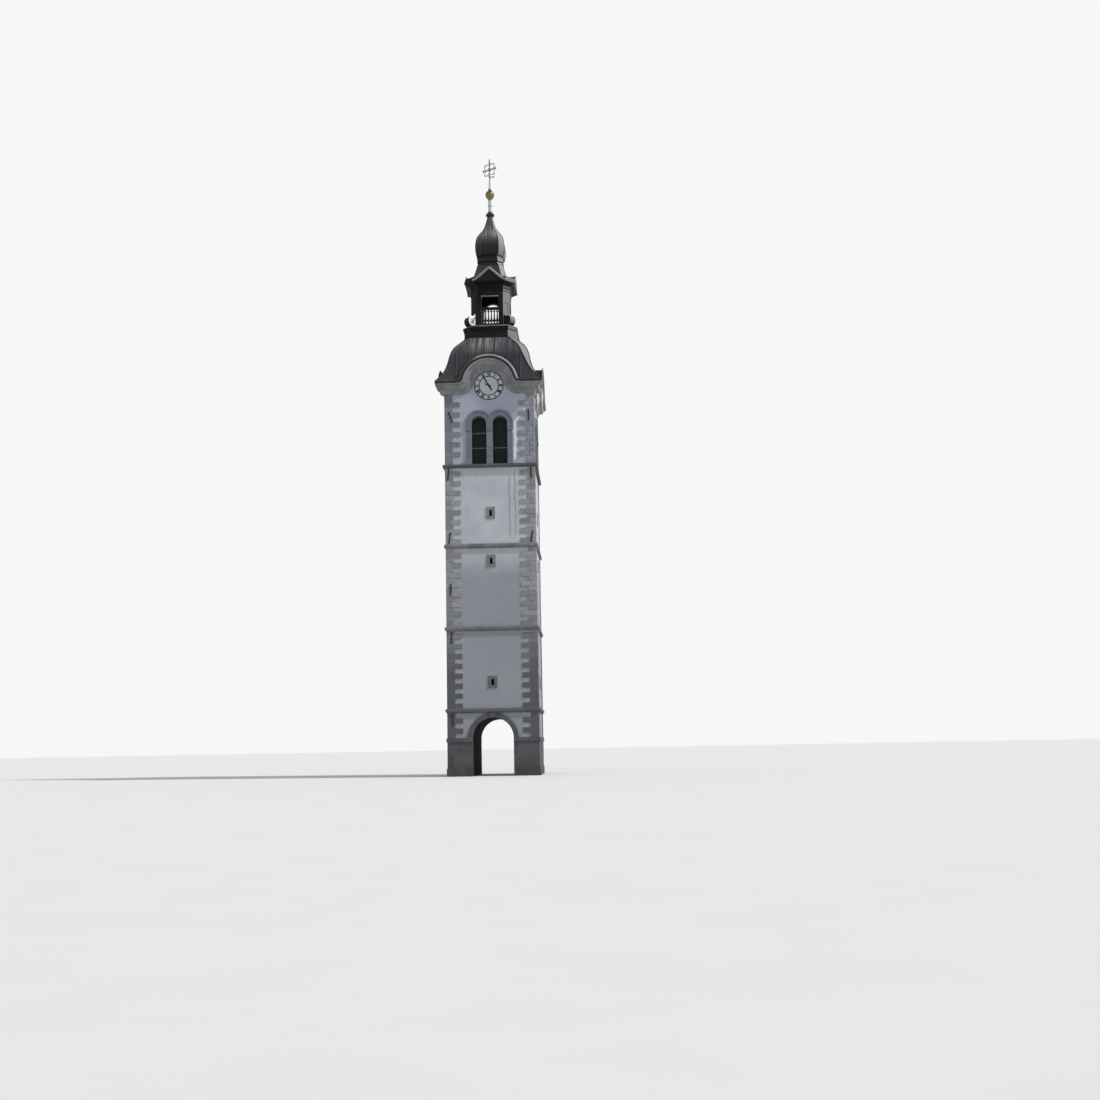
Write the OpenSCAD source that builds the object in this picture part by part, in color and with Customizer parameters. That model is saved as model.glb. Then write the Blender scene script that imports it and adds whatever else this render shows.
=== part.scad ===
// Baroque clock and bell tower over a street passage.
// Millimetres. +Z is up, the front faces -Y, the origin is the centre of the base at ground level.

/* [Shaft] */
// Width of the square shaft over its plaster
shaft_w = 5400; // [4900:50:6000]
// Thickness of the shaft's masonry walls
wall_t = 1000; // [800:50:1150]
// Height from the ground to the first string course
ground_h = 3740; // [3740:20:4200]
// Height from the first to the second string course
storey_1_h = 4900; // [4300:50:5300]
// Height from the second to the third string course
storey_2_h = 5000; // [4800:50:5400]
// Height from the third string course to the belfry sill
storey_3_h = 4940; // [4700:10:5300]
// Height of the belfry wall, from the sill course to the cornice
belfry_h = 4330; // [4000:10:4700]

/* [Base] */
// Height of the plinth blocks
plinth_h = 460; // [300:20:700]
// Projection of the plinth beyond the plaster
plinth_out = 70; // [50:5:120]
// Projection of the stone dado beyond the plaster
dado_out = 30; // [10:5:40]
// Height of the impost band
impost_h = 200; // [120:10:300]
// Projection of the impost band
impost_out = 80; // [50:5:140]

/* [Passage] */
// Clear width of the passage
passage_w = 2440; // [2200:20:2480]
// Height of the passage from the ground to the springing
passage_spring_z = 2240; // [1900:20:2240]
// Width of the voussoir ring on each face
arch_ring_w = 270; // [180:10:280]
// Projection of the voussoir ring
arch_ring_out = 50; // [20:5:80]
// Width of the keystone at its foot
keystone_w = 260; // [200:10:360]

/* [String courses] */
// Height of a string course
course_h = 270; // [180:10:340]
// Projection of a string course
course_out = 120; // [80:5:180]
// Height of the belfry sill course
sill_h = 210; // [160:10:300]
// Projection of the belfry sill course
sill_out = 160; // [100:5:200]

/* [Quoins] */
// Length of a short quoin's arm
quoin_short = 470; // [350:10:560]
// Length of a long quoin's arm
quoin_long = 930; // [760:10:960]
// Height of a long quoin
quoin_block_h = 300; // [220:10:360]
// Height from one long quoin to the next
quoin_pitch = 595; // [540:5:700]
// Height from one long quoin to the next on the belfry
belfry_quoin_pitch = 620; // [560:5:700]
// Height of the first long quoin above the belfry sill
belfry_quoin_up = 480; // [300:10:600]
// Depth of the quoins in the wall
quoin_bed = 250; // [150:10:350]
// Projection of the quoins beyond the plaster
quoin_out = 25; // [10:5:40]

/* [Slot windows] */
// Width of a slot
slot_w = 180; // [120:10:240]
// Height of a slot
slot_h = 360; // [280:10:460]
// Width of a slot window's stone frame
slot_frame_w = 530; // [420:10:640]
// Height of a slot window's stone frame
slot_frame_h = 710; // [580:10:820]
// Depth of the stone frame in the wall
slot_frame_bed = 250; // [150:10:400]
// Projection of the stone frame
slot_frame_out = 30; // [10:5:60]
// Height of the lowest slot above the first string course
slot_1_up = 1825; // [1200:25:3500]
// Height of the middle slot above the second string course
slot_2_up = 4210; // [1200:25:4300]
// Height of the upper slot above the third string course
slot_3_up = 2135; // [1200:25:3600]

/* [Belfry] */
// Thickness of the belfry walls
belfry_wall_t = 800; // [600:50:1000]
// Width of one belfry opening
opening_w = 920; // [760:20:1000]
// Width of the mullion between the openings
mullion_w = 360; // [300:10:460]
// Height from the sill to the springing of the arches
opening_spring = 2530; // [2300:10:2700]
// Width of the stone surround around the arches
surround_w = 340; // [240:10:380]
// Width of the jambs under the capitals
jamb_w = 300; // [200:10:340]
// Width of the raised rim on the arches
rim_w = 70; // [40:5:110]
// Projection of the raised rim
rim_out = 25; // [10:5:40]
// Projection of the stone surround
surround_out = 60; // [30:5:90]
// Depth of the surround in the wall
surround_bed = 150; // [100:10:250]
// Height from the sill to the capitals
capital_up = 2110; // [1700:10:2250]
// Height of the capitals
capital_h = 110; // [60:5:140]
// Projection of the capitals and foot blocks beyond the surround
capital_out = 45; // [20:5:70]
// Height of the plinth blocks under the jambs
jamb_foot_h = 420; // [200:10:500]
// Depth of the boarded shutters behind the wall's face
shutter_back = 320; // [260:10:450]
// Thickness of the shutter boards
board_t = 50; // [30:5:80]
// Height of the lower ledge of a shutter over the sill
ledge_1_up = 1020; // [800:10:1200]
// Height of the upper ledge of a shutter over the sill
ledge_2_up = 1950; // [1600:10:2200]
// Height of a shutter's ledge
ledge_h = 70; // [40:5:100]
// Thickness of a shutter's ledge
ledge_t = 40; // [25:5:60]
// Thickness of the belfry floor
belfry_floor_t = 200; // [120:10:300]

/* [Cornice] */
// Height of the main cornice
cornice_h = 650; // [560:10:680]
// Projection of the main cornice
cornice_out = 540; // [420:10:600]
// Radius of the cornice's outer edge over a clock
gable_r = 1590; // [1560:10:1700]
// Radius of the small reverse curve at the foot of a gable
flare_r = 280; // [200:10:360]
// Height of the clock's centre above the top of the cornice, negative when below
clock_up = -110; // [-160:10:0]
// Thickness of the wall that carries a clock
gable_t = 600; // [450:10:700]

/* [Clock] */
// Radius of the dial
dial_r = 920; // [820:10:930]
// Radius of the outer painted ring
outer_ring_r = 900; // [780:10:905]
// Radius of the inner painted ring
inner_ring_r = 615; // [540:5:660]
// Width of a painted ring
ring_w = 35; // [25:1:50]
// Thickness of the dial
dial_t = 60; // [40:5:80]
// Length of the minute hand, from the centre
minute_len = 820; // [700:10:860]
// Length of the minute hand's tail
minute_tail = 330; // [200:10:400]
// Length of the hour hand, from the centre
hour_len = 330; // [280:10:560]
// Thickness of a hand
hand_t = 8; // [5:1:12]
// Radius of the minute arbor
arbor_r = 15; // [10:1:20]
// Wall of the hour tube
hour_tube_wall = 10; // [6:1:15]
// Running clearance of the arbors
running_gap = 0.1; // [0.05:0.01:0.1]
// Gap between the dial, the hour hand and the minute hand
hand_gap = 12; // [8:1:20]

/* [Bell roof] */
// Height of the bell roof
bell_h = 3270; // [3000:10:3600]
// Half width at the top of the bell roof
bell_top_half = 1680; // [1600:10:1800]
// Cut of the corners at the top of the bell roof
bell_chamfer = 485; // [300:5:600]
// Height of the roof's edge at the eaves
eaves_edge = 60; // [30:5:100]
// Overhang of the eaves beyond the cornice
eaves_out = 20; // [10:5:50]
// Thickness of the roof's boards and sheet metal
roof_t = 120; // [80:10:160]
// Thickness of the eyebrow roofs over the clocks
eyebrow_t = 60; // [40:5:100]

/* [Lantern] */
// Height of the drum under the lantern
drum_h = 730; // [600:10:850]
// Thickness of the drum's wall
drum_t = 200; // [120:10:300]
// Projection of the drum's mouldings
drum_out = 60; // [40:5:90]
// Thickness of the lantern floor
lantern_floor_t = 130; // [80:10:200]
// Half width of the lantern
lantern_half = 1210; // [1120:10:1300]
// Half width of a lantern face between the chamfers
lantern_face_half = 835; // [780:5:900]
// Height of the lantern from its floor to the upper cornice
lantern_h = 2600; // [2400:10:2800]
// Thickness of the lantern's piers
pier_t = 240; // [160:10:300]
// Width of a lantern opening
lantern_opening_w = 1090; // [900:10:1180]
// Height of the wall over a lantern opening's crown
lantern_head = 290; // [100:10:400]
// Height of the balustrade
balustrade_h = 1290; // [1000:10:1400]
// Number of balusters in an opening
baluster_count = 6; // [4:1:8]
// Greatest radius of a baluster
baluster_r = 62; // [45:1:70]
// Height of the balustrade's top rail
rail_h = 90; // [60:5:130]
// Height of the balustrade's solid foot
rail_foot_h = 240; // [150:10:320]
// Depth of a balustrade rail
rail_d = 150; // [130:5:180]
// Height of the tie bar above the lantern floor
tie_up = 1980; // [1700:10:2150]
// Thickness of the tie bar
tie_t = 50; // [30:5:70]
// Projection of the mouldings on the piers
pier_band_out = 40; // [20:5:60]
// Height of a moulding on the piers
pier_band_h = 90; // [60:5:120]
// Depth of the panels in the piers' corner faces
panel_d = 25; // [10:5:40]
// Width of the panels
panel_w = 300; // [200:10:380]

/* [Volutes] */
// Height of a volute
volute_h = 850; // [700:10:1000]
// Reach of a volute from the pier, along the diagonal
volute_reach = 620; // [520:10:680]
// Thickness of a volute
volute_t = 420; // [300:10:480]
// Half the height of a volute's lower scroll
scroll_r = 320; // [240:10:340]
// Width of the raised spiral band
spiral_w = 105; // [80:5:150]
// Projection of the raised spiral band
spiral_out = 30; // [15:5:45]

/* [Upper roof] */
// Height of the upper cornice
upper_cornice_h = 520; // [440:10:620]
// Height of the plain fascia, the upper part of this cornice
fascia_h = 270; // [200:10:320]
// Half width of the upper cornice
upper_half = 1575; // [1500:5:1680]
// Cut of the upper cornice's corners
upper_corner = 545; // [440:5:620]
// Height of the upper roof
upper_roof_h = 1110; // [900:10:1300]
// Thickness of the lantern's ceiling
ceiling_t = 80; // [40:5:120]
// Half width at the top of the upper roof
upper_top_half = 820; // [760:5:860]
// Cut of the corners at the top of the upper roof
upper_chamfer = 290; // [200:10:360]
// Half width of a gablet at its foot
gablet_half = 1030; // [900:10:1100]
// Height of a gablet
gablet_h = 810; // [700:10:900]

/* [Onion] */
// Height of the neck under the onion
neck_h = 620; // [500:10:760]
// Half width of the neck
neck_half = 760; // [700:5:790]
// Projection of the ring around the neck
neck_ring_out = 55; // [30:5:80]
// Height of the onion
onion_h = 2860; // [2600:10:3100]
// Greatest half width of the onion
onion_half = 920; // [870:5:1000]
// Cut of the onion's corners at its widest
onion_chamfer = 335; // [260:5:420]
// Thickness of the onion's shell
onion_t = 80; // [50:5:110]

/* [Finial] */
// Radius of the collar on the onion's tip
collar_r = 255; // [200:5:300]
// Height of the collar
collar_h = 300; // [220:10:360]
// Radius of the post
post_r = 105; // [80:5:130]
// Height of the post
post_h = 780; // [600:10:900]
// Radius of the gilt ball
ball_r = 285; // [240:5:340]
// Height of the gilt ball
ball_h = 750; // [640:10:800]
// Height of the spindle over the ball
spindle_h = 380; // [300:10:480]
// Height of the cross
cross_h = 1700; // [1500:10:1800]
// Width of the cross
cross_w = 1000; // [800:10:1100]
// Thickness of the wrought-iron bars
cross_t = 50; // [30:5:70]
// Turn of the cross about its post
cross_turn = -27; // [-45:1:45]
// Length of the small arrow on the spindle
arrow_len = 380; // [250:10:450]

/* [Wall anchors] */
// Length of a wall anchor
anchor_len = 700; // [500:10:800]
// Height of the left belfry anchor above the sill
anchor_left_up = 2950; // [2600:10:3300]
// Height of the right belfry anchor above the sill
anchor_right_up = 2990; // [2600:10:3300]
// Width of a wall anchor
anchor_w = 80; // [50:5:110]
// Thickness of a wall anchor
anchor_t = 40; // [20:5:60]

/* [Hidden] */

FRONT = 0;
RIGHT = 1;
BACK = 2;
LEFT = 3;

half = shaft_w / 2;
cut_past = 4000;
reach = shaft_w + cut_past;
joint_gap = 0.3;
sharp = 60;

course_1_z = ground_h;
course_2_z = course_1_z + storey_1_h;
course_3_z = course_2_z + storey_2_h;
sill_z = course_3_z + storey_3_h;
belfry_z = sill_z + sill_h;
cornice_z = belfry_z + belfry_h;
eaves_z = cornice_z + cornice_h;
clock_z = eaves_z + clock_up;

impost_z = passage_spring_z - impost_h;
passage_r = passage_w / 2;
opening_r = opening_w / 2;
opening_x = (opening_w + mullion_w) / 2;
opening_spring_z = belfry_z + opening_spring;
capital_z = belfry_z + capital_up;

eaves_half = half + cornice_out + eaves_out;
bell_top_z = eaves_z + bell_h;
drum_top_z = bell_top_z + drum_h;
lantern_z = drum_top_z + lantern_floor_t;
lantern_top_z = lantern_z + lantern_h;
lantern_opening_r = lantern_opening_w / 2;
lantern_spring_z = lantern_top_z - lantern_head - lantern_opening_r;
upper_cornice_z = lantern_top_z;
upper_roof_z = upper_cornice_z + upper_cornice_h;
neck_z = upper_roof_z + upper_roof_h;
onion_z = neck_z + neck_h;
collar_z = onion_z + onion_h;
post_z = collar_z + collar_h;
ball_z = post_z + post_h;
spindle_z = ball_z + ball_h;
cross_z = spindle_z + spindle_h;

minute_angle = -30;
hour_angle = -62.5;

plaster = "gainsboro";
stone = "darkgray";
dark_metal = "dimgray";
iron = "#2b2b2d";
timber = "#4a4036";
gilt = "goldenrod";

// Points on a circle from angle a0 to a1 in n steps
function arc(cx, cz, r, a0, a1, n) =
    [for (i = [0:n]) let (a = a0 + (a1 - a0) * i / n) [cx + r * cos(a), cz + r * sin(a)]];

// A smooth curve through points, n steps between neighbours
function blend(a, b, c, d, t) =
    0.5 * (2 * b + (c - a) * t + (2 * a - 5 * b + 4 * c - d) * t * t + (3 * b - a - 3 * c + d) * t * t * t);
function smooth(p, n) = concat(
    [for (i = [0:len(p) - 2], k = [0:n - 1])
        blend(p[max(i - 1, 0)], p[i], p[i + 1], p[min(i + 2, len(p) - 1)], k / n)],
    [p[len(p) - 1]]);

// Closes a half outline of [half width, height] points about the centre line
function mirrored(p) = concat(p, [for (i = [len(p) - 1:-1:0]) [-p[i][0], p[i][1]]]);

// Shares of [height, width, corner cut] between a foot and a top give rows of
// [half width, face half width, height]. A corner cut of 0 leaves the corner sharp.
function rows_from(shares, z, h, foot_half, top_half, cut) =
    [for (r = shares) let (w = top_half + (foot_half - top_half) * r[1])
        [w, w - cut * r[2] + (r[2] == 0 ? sharp : 0), z + h * r[0]]];

// Rows of [half width, face half width, height] give the faces and the chamfers of a roof
function faces(rows, t = 0) = [for (r = rows) [r[0] - t, r[2]]];
function chamfers(rows, t = 0) = [for (r = rows) [(r[0] + r[1]) / sqrt(2) - t, r[2]]];

module bar_along_y(outline) {
    rotate([90, 0, 0]) linear_extrude(2 * reach, center = true) polygon(mirrored(outline));
}

// A square body whose half width follows an outline
module square_body(outline) {
    intersection() {
        bar_along_y(outline);
        rotate([0, 0, 90]) bar_along_y(outline);
    }
}

module chamfered_body(rows, t = 0) {
    intersection() {
        square_body(faces(rows, t));
        rotate([0, 0, 45]) square_body(chamfers(rows, t));
    }
}

module on_side(side) {
    rotate([0, 0, 90 * side]) children();
}

module each_side() {
    for (side = [FRONT, RIGHT, BACK, LEFT]) on_side(side) children();
}

// A flat outline in x and z, with its outer face at y and its thickness behind it
module upright(y, depth) {
    translate([0, y + depth, 0]) rotate([90, 0, 0]) linear_extrude(depth) children();
}

module centred_block(w, d, z, h) {
    translate([-w / 2, -d / 2, z]) cube([w, d, h]);
}

module square_ring(inner_half, outer_half, z, h) {
    difference() {
        centred_block(2 * outer_half, 2 * outer_half, z, h);
        centred_block(2 * inner_half, 2 * inner_half, z - 1, h + 2);
    }
}

module passage_space(extra = 0) {
    translate([-passage_r - extra, -reach, -1]) cube([passage_w + 2 * extra, 2 * reach, passage_spring_z + 1]);
    translate([0, reach, passage_spring_z]) rotate([90, 0, 0]) cylinder(r = passage_r + extra, h = 2 * reach, $fn = 96);
}

// Base

module base_band(z, h, out) {
    difference() {
        square_ring(half, half + out, z, h);
        passage_space();
    }
}

module plinth() {
    color(stone) base_band(0, plinth_h, plinth_out);
}

module dado() {
    color(stone) base_band(plinth_h, impost_z - plinth_h, dado_out);
}

module impost_band() {
    color(stone) base_band(impost_z, impost_h, impost_out);
}

module passage_wall() {
    color(plaster) translate([passage_r, -half, 0]) cube([half - passage_r, shaft_w, passage_spring_z]);
}

module passage_wall_left() {
    mirror([1, 0, 0]) passage_wall();
}

module passage_wall_right() {
    passage_wall();
}

module passage_vault() {
    color(plaster) difference() {
        centred_block(shaft_w, shaft_w, passage_spring_z, ground_h + course_h - passage_spring_z);
        passage_space();
        quoins();
    }
}

module arch_ring() {
    ring_r = passage_r + arch_ring_w;
    difference() {
        union() {
            upright(-half - arch_ring_out, arch_ring_out) circle(r = ring_r, $fn = 96);
            upright(-half - 2 * arch_ring_out, 2 * arch_ring_out)
                polygon([[-keystone_w / 2, passage_r - arch_ring_w], [keystone_w / 2, passage_r - arch_ring_w],
                    [keystone_w * 0.62, ring_r], [-keystone_w * 0.62, ring_r]]);
        }
        upright(-half - 3 * arch_ring_out, 4 * arch_ring_out) {
            circle(r = passage_r, $fn = 96);
            translate([-ring_r - 1, -ring_r - 1]) square([2 * ring_r + 2, ring_r + 1]);
        }
    }
}

module arch_rings() {
    color(stone) for (side = [FRONT, BACK]) on_side(side) translate([0, 0, passage_spring_z]) arch_ring();
}

// Shaft

// A weathered moulding: flat face, sloping top and a small cove below
function course_outline(z, h, out) = [
    [half, z], [half + out * 0.35, z], [half + out * 0.5, z + h * 0.22], [half + out, z + h * 0.3],
    [half + out, z + h * 0.78], [half + out * 0.2, z + h], [half, z + h]];

module moulding(z, h, out) {
    difference() {
        square_body(course_outline(z, h, out));
        centred_block(shaft_w, shaft_w, z - 1, h + 2);
    }
}

module string_courses() {
    color(stone) for (z = [course_1_z, course_2_z, course_3_z]) moulding(z, course_h, course_out);
}

module belfry_sill_course() {
    color(stone) moulding(sill_z, sill_h, sill_out);
}

// Quoins stand between one course and the next: long blocks on a strip of short ones
module quoin_shape(z, h, lead, pitch) {
    translate([0, z]) square([quoin_short, h]);
    for (up = [lead:pitch:h - quoin_block_h / 2])
        translate([0, z + up]) square([quoin_long, min(quoin_block_h, h - up)]);
}

// Both arms of one corner, each as deep as the quoins' bed
module quoin_strip(z, h, lead = 0, pitch = quoin_pitch) {
    for (turned = [false, true]) rotate([0, 0, turned ? 90 : 0]) mirror([turned ? 1 : 0, 0, 0])
        upright(-half - quoin_out, quoin_bed + quoin_out)
            translate([-half - quoin_out, 0]) quoin_shape(z, h, lead, pitch);
}

// The ground storey starts with a short quoin on the impost band
module quoins() {
    color(stone) each_side() {
        quoin_strip(passage_spring_z, course_1_z - passage_spring_z, quoin_pitch - quoin_block_h);
        quoin_strip(course_1_z + course_h, storey_1_h - course_h);
        quoin_strip(course_2_z + course_h, storey_2_h - course_h);
        quoin_strip(course_3_z + course_h, storey_3_h - course_h);
        quoin_strip(belfry_z, belfry_h, belfry_quoin_up, belfry_quoin_pitch);
    }
}

module slot_shape(w, h, z) {
    translate([-w / 2, z - h / 2]) square([w, h]);
}

slot_zs = [course_1_z + slot_1_up, course_2_z + slot_2_up, course_3_z + slot_3_up];

module slot_cuts() {
    for (z = slot_zs) {
        upright(-half - 1, slot_frame_bed + 1) slot_shape(slot_frame_w, slot_frame_h, z);
        upright(-half, wall_t + 1) slot_shape(slot_w, slot_h, z);
    }
}

// Front and back walls run to the corners, side walls stand between them
module shaft_wall(side) {
    across = (side == FRONT || side == BACK) ? shaft_w : shaft_w - 2 * wall_t;
    z0 = ground_h + course_h;
    color(plaster) difference() {
        on_side(side) translate([-across / 2, -half, z0]) cube([across, wall_t, sill_z + sill_h - z0]);
        on_side(side) slot_cuts();
        quoins();
    }
}

module shaft_wall_front() {
    shaft_wall(FRONT);
}

module shaft_wall_right() {
    shaft_wall(RIGHT);
}

module shaft_wall_back() {
    shaft_wall(BACK);
}

module shaft_wall_left() {
    shaft_wall(LEFT);
}

module slot_window_frames() {
    color(stone) each_side() for (z = slot_zs)
        upright(-half - slot_frame_out, slot_frame_bed + slot_frame_out) difference() {
            slot_shape(slot_frame_w, slot_frame_h, z);
            slot_shape(slot_w, slot_h, z);
        }
}

// Anchors stand over or under a course, with this much plaster between
anchor_clear = 40;
function over(z) = z + anchor_clear + anchor_len / 2;
function under(z) = z - anchor_clear - anchor_len / 2;

// Each anchor is [side of the face, distance in from the corner, height, tilt]
anchors = [
    [-1, 340, belfry_z + anchor_left_up, 22], [1, 300, belfry_z + anchor_right_up, 2],
    [-1, 170, under(sill_z), -4], [1, 210, under(sill_z), 4],
    [-1, 220, over(course_3_z + course_h), -8], [1, 210, over(course_3_z + course_h), -8],
    [-1, 250, course_2_z + storey_2_h / 2, -2], [-1, 280, under(course_2_z), 0],
    [-1, 300, under(course_1_z), 6]];

module wall_anchors() {
    color(iron) for (side = [FRONT, BACK]) on_side(side) for (a = anchors)
        upright(-half - quoin_out - anchor_t, anchor_t)
            translate([a[0] * (half - a[1]), a[2]]) rotate(a[3]) square([anchor_w, anchor_len], center = true);
}

// Belfry

module belfry_opening(extra, z0) {
    for (x = [-opening_x, opening_x]) translate([x, 0]) {
        translate([0, opening_spring_z]) circle(r = opening_r + extra, $fn = 72);
        translate([-opening_r - extra, z0]) square([opening_w + 2 * extra, opening_spring_z - z0]);
    }
}

// The arches with their surround stand on narrower jambs under the capitals
module surround_shape() {
    belfry_opening(surround_w, capital_z);
    belfry_opening(jamb_w, belfry_z);
}

// One band across the surround, cut by the openings
module surround_band(z, h, w, out) {
    band_half = opening_x + opening_r + w;
    upright(-half - surround_out - out, out) difference() {
        translate([-band_half, z]) square([2 * band_half, h]);
        belfry_opening(0, belfry_z - 1);
    }
}

module belfry_cuts() {
    upright(-half - 1, surround_bed + 1) surround_shape();
    upright(-half, belfry_wall_t + 1) belfry_opening(0, belfry_z);
}

module belfry_wall(side) {
    across = (side == FRONT || side == BACK) ? shaft_w : shaft_w - 2 * belfry_wall_t;
    color(plaster) difference() {
        on_side(side) translate([-across / 2, -half, belfry_z]) cube([across, belfry_wall_t, eaves_z - belfry_z]);
        on_side(side) belfry_cuts();
        on_side(side) dial_recess();
        quoins();
    }
}

module belfry_wall_front() {
    belfry_wall(FRONT);
}

module belfry_wall_right() {
    belfry_wall(RIGHT);
}

module belfry_wall_back() {
    belfry_wall(BACK);
}

module belfry_wall_left() {
    belfry_wall(LEFT);
}

module belfry_surrounds() {
    color(stone) each_side() {
        upright(-half - surround_out, surround_bed + surround_out) difference() {
            surround_shape();
            belfry_opening(0, belfry_z - 1);
        }
        upright(-half - surround_out - rim_out, rim_out) difference() {
            belfry_opening(surround_w, capital_z);
            belfry_opening(surround_w - rim_w, belfry_z);
        }
        surround_band(capital_z, capital_h, surround_w, capital_out);
        surround_band(capital_z - capital_h / 2, capital_h / 2, jamb_w, capital_out / 2);
        surround_band(belfry_z, jamb_foot_h, jamb_w, capital_out);
    }
}

module belfry_shutters() {
    color(timber) each_side() upright(-half + shutter_back, board_t) belfry_opening(0, belfry_z);
}

// The upper ledge shows on the left shutter of a pair
module shutter_ledges() {
    color(timber) each_side() for (ledge = [[-1, ledge_1_up], [1, ledge_1_up], [-1, ledge_2_up]])
        translate([ledge[0] * opening_x - opening_r, -half + shutter_back - ledge_t, belfry_z + ledge[1]])
            cube([opening_w, ledge_t, ledge_h]);
}

module belfry_floor() {
    inner = shaft_w - 2 * wall_t;
    color(timber) centred_block(inner, inner, belfry_z - belfry_floor_t, belfry_floor_t);
}

// Cornice and clock gables

// Cornice outline as [projection, height below the top edge]
cornice_outline = concat(
    [[0, 0], [cornice_out, 0], [cornice_out, cornice_h * 0.14]],
    arc(cornice_out, cornice_h * 0.42, cornice_h * 0.24, 270, 180, 5),
    [[cornice_out * 0.66, cornice_h * 0.5]],
    arc(cornice_out * 0.66, cornice_h, cornice_h * 0.44, 270, 180, 7),
    [[cornice_out * 0.1, cornice_h], [0, cornice_h]]);

flare_z = eaves_z + flare_r;
flare_x = sqrt(pow(gable_r + flare_r, 2) - pow(flare_z - clock_z, 2));
flare_angle = atan2(flare_z - clock_z, flare_x);
joint_angle = 0.04;

module straight_cornice() {
    outline = concat(
        [for (p = cornice_outline) [half + p[0], eaves_z - p[1]]]);
    difference() {
        square_body(outline);
        centred_block(shaft_w, shaft_w, cornice_z - 1, cornice_h + 2);
        each_side() translate([-flare_x, -reach, cornice_z - 1]) cube([2 * flare_x, reach, cornice_h + 2]);
    }
}

// The outline turned about an axis that runs into the wall
module swept_outline(r, grow, angle) {
    rotate_extrude(angle = angle, $fn = 96) polygon([for (p = cornice_outline) [r + grow * p[1], -p[0]]]);
}

module swept_cornice() {
    translate([0, -half, clock_z]) rotate([90, 0, 0]) mirror([0, 0, 1])
        rotate([0, 0, flare_angle]) swept_outline(gable_r, -1, 180 - 2 * flare_angle);
    for (m = [0, 1]) mirror([m, 0, 0])
        translate([flare_x, -half, flare_z]) rotate([90, 0, 0]) mirror([0, 0, 1])
            rotate([0, 0, 180 + flare_angle + joint_angle])
                swept_outline(flare_r, 1, 90 - flare_angle - 2 * joint_angle);
}

module main_cornice() {
    color(plaster) {
        straight_cornice();
        each_side() swept_cornice();
    }
}

// The outline under the sweep's outer edge, grown for the sheet metal over it
module gable_shape(grow = 0) {
    difference() {
        union() {
            translate([0, clock_z]) circle(r = gable_r + grow, $fn = 96);
            translate([-flare_x, eaves_z - 1]) square([2 * flare_x, flare_r + 1 + grow]);
        }
        for (x = [-flare_x, flare_x]) translate([x, flare_z]) circle(r = flare_r - grow, $fn = 72);
        translate([-reach, eaves_z - reach]) square([2 * reach, reach]);
    }
}

module dial_recess() {
    upright(-half - 1, dial_t + 1) translate([0, clock_z]) circle(r = dial_r, $fn = 96);
    upright(-half, reach) translate([0, clock_z]) circle(r = arbor_r + hour_tube_wall + 60, $fn = 48);
}

module clock_gables() {
    color(plaster) each_side() difference() {
        upright(-half, gable_t) gable_shape();
        dial_recess();
    }
}

module clock_dials() {
    ring_t = 6;
    color(plaster) each_side() difference() {
        union() {
            upright(-half, dial_t - joint_gap) translate([0, clock_z]) circle(r = dial_r - joint_gap, $fn = 96);
            for (r = [outer_ring_r, inner_ring_r]) upright(-half - ring_t, ring_t) translate([0, clock_z]) difference() {
                circle(r = r, $fn = 96);
                circle(r = r - ring_w, $fn = 96);
            }
        }
        upright(-half - 10, dial_t + 20) translate([0, clock_z])
            circle(r = arbor_r + hour_tube_wall + 2 * running_gap, $fn = 48);
    }
}

// Hands turn about the arbor, clockwise as seen from outside
hour_y = -half - hand_gap - hand_t;
minute_y = hour_y - hand_gap - hand_t;
arbor_back = 120;

module hand_shape(len, tail, w) {
    polygon([
        [-w * 0.32, 0], [-w * 0.42, len * 0.62], [0, len], [w * 0.42, len * 0.62], [w * 0.32, 0],
        [w * 0.5, -tail], [-w * 0.5, -tail]]);
}

module minute_hand(side) {
    color(iron) on_side(side) translate([0, 0, clock_z]) {
        upright(minute_y, hand_t) rotate(-minute_angle) union() {
            hand_shape(minute_len, minute_tail, 90);
            circle(r = 60, $fn = 48);
        }
        upright(minute_y, -minute_y - half + arbor_back) circle(r = arbor_r, $fn = 48);
    }
}

module hour_hand(side) {
    tube_r = arbor_r + hour_tube_wall + running_gap;
    color(iron) on_side(side) translate([0, 0, clock_z]) difference() {
        union() {
            upright(hour_y, hand_t) rotate(-hour_angle) union() {
                hand_shape(hour_len, 150, 80);
                circle(r = 70, $fn = 48);
            }
            upright(hour_y, -hour_y - half + arbor_back - 20) circle(r = tube_r, $fn = 48);
        }
        upright(hour_y - 1, reach) circle(r = arbor_r + running_gap, $fn = 48);
    }
}

module minute_hand_front() {
    minute_hand(FRONT);
}

module minute_hand_right() {
    minute_hand(RIGHT);
}

module minute_hand_back() {
    minute_hand(BACK);
}

module minute_hand_left() {
    minute_hand(LEFT);
}

module hour_hand_front() {
    hour_hand(FRONT);
}

module hour_hand_right() {
    hour_hand(RIGHT);
}

module hour_hand_back() {
    hour_hand(BACK);
}

module hour_hand_left() {
    hour_hand(LEFT);
}

// Bell roof

bell_shares = smooth([
    [eaves_edge / bell_h, 1, 0], [0.11, 0.86, 0.06], [0.21, 0.74, 0.3], [0.336, 0.62, 0.42], [0.495, 0.535, 0.62],
    [0.645, 0.475, 0.86], [0.80, 0.345, 0.95], [0.92, 0.14, 1], [1, 0, 1]], 2);
bell_rows = concat([[eaves_half, eaves_half + sharp, eaves_z]],
    rows_from(bell_shares, eaves_z, bell_h, eaves_half, bell_top_half, bell_chamfer));

module bell_outer() {
    chamfered_body(bell_rows);
}

module bell_inner() {
    chamfered_body([for (r = bell_rows) [r[0], r[1], r[2] - (r[2] < bell_top_z ? roof_t / 2 : 0)]], roof_t);
}

module gable_tunnels(grow) {
    each_side() upright(-reach, reach - half + gable_t + joint_gap) gable_shape(grow);
}

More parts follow.
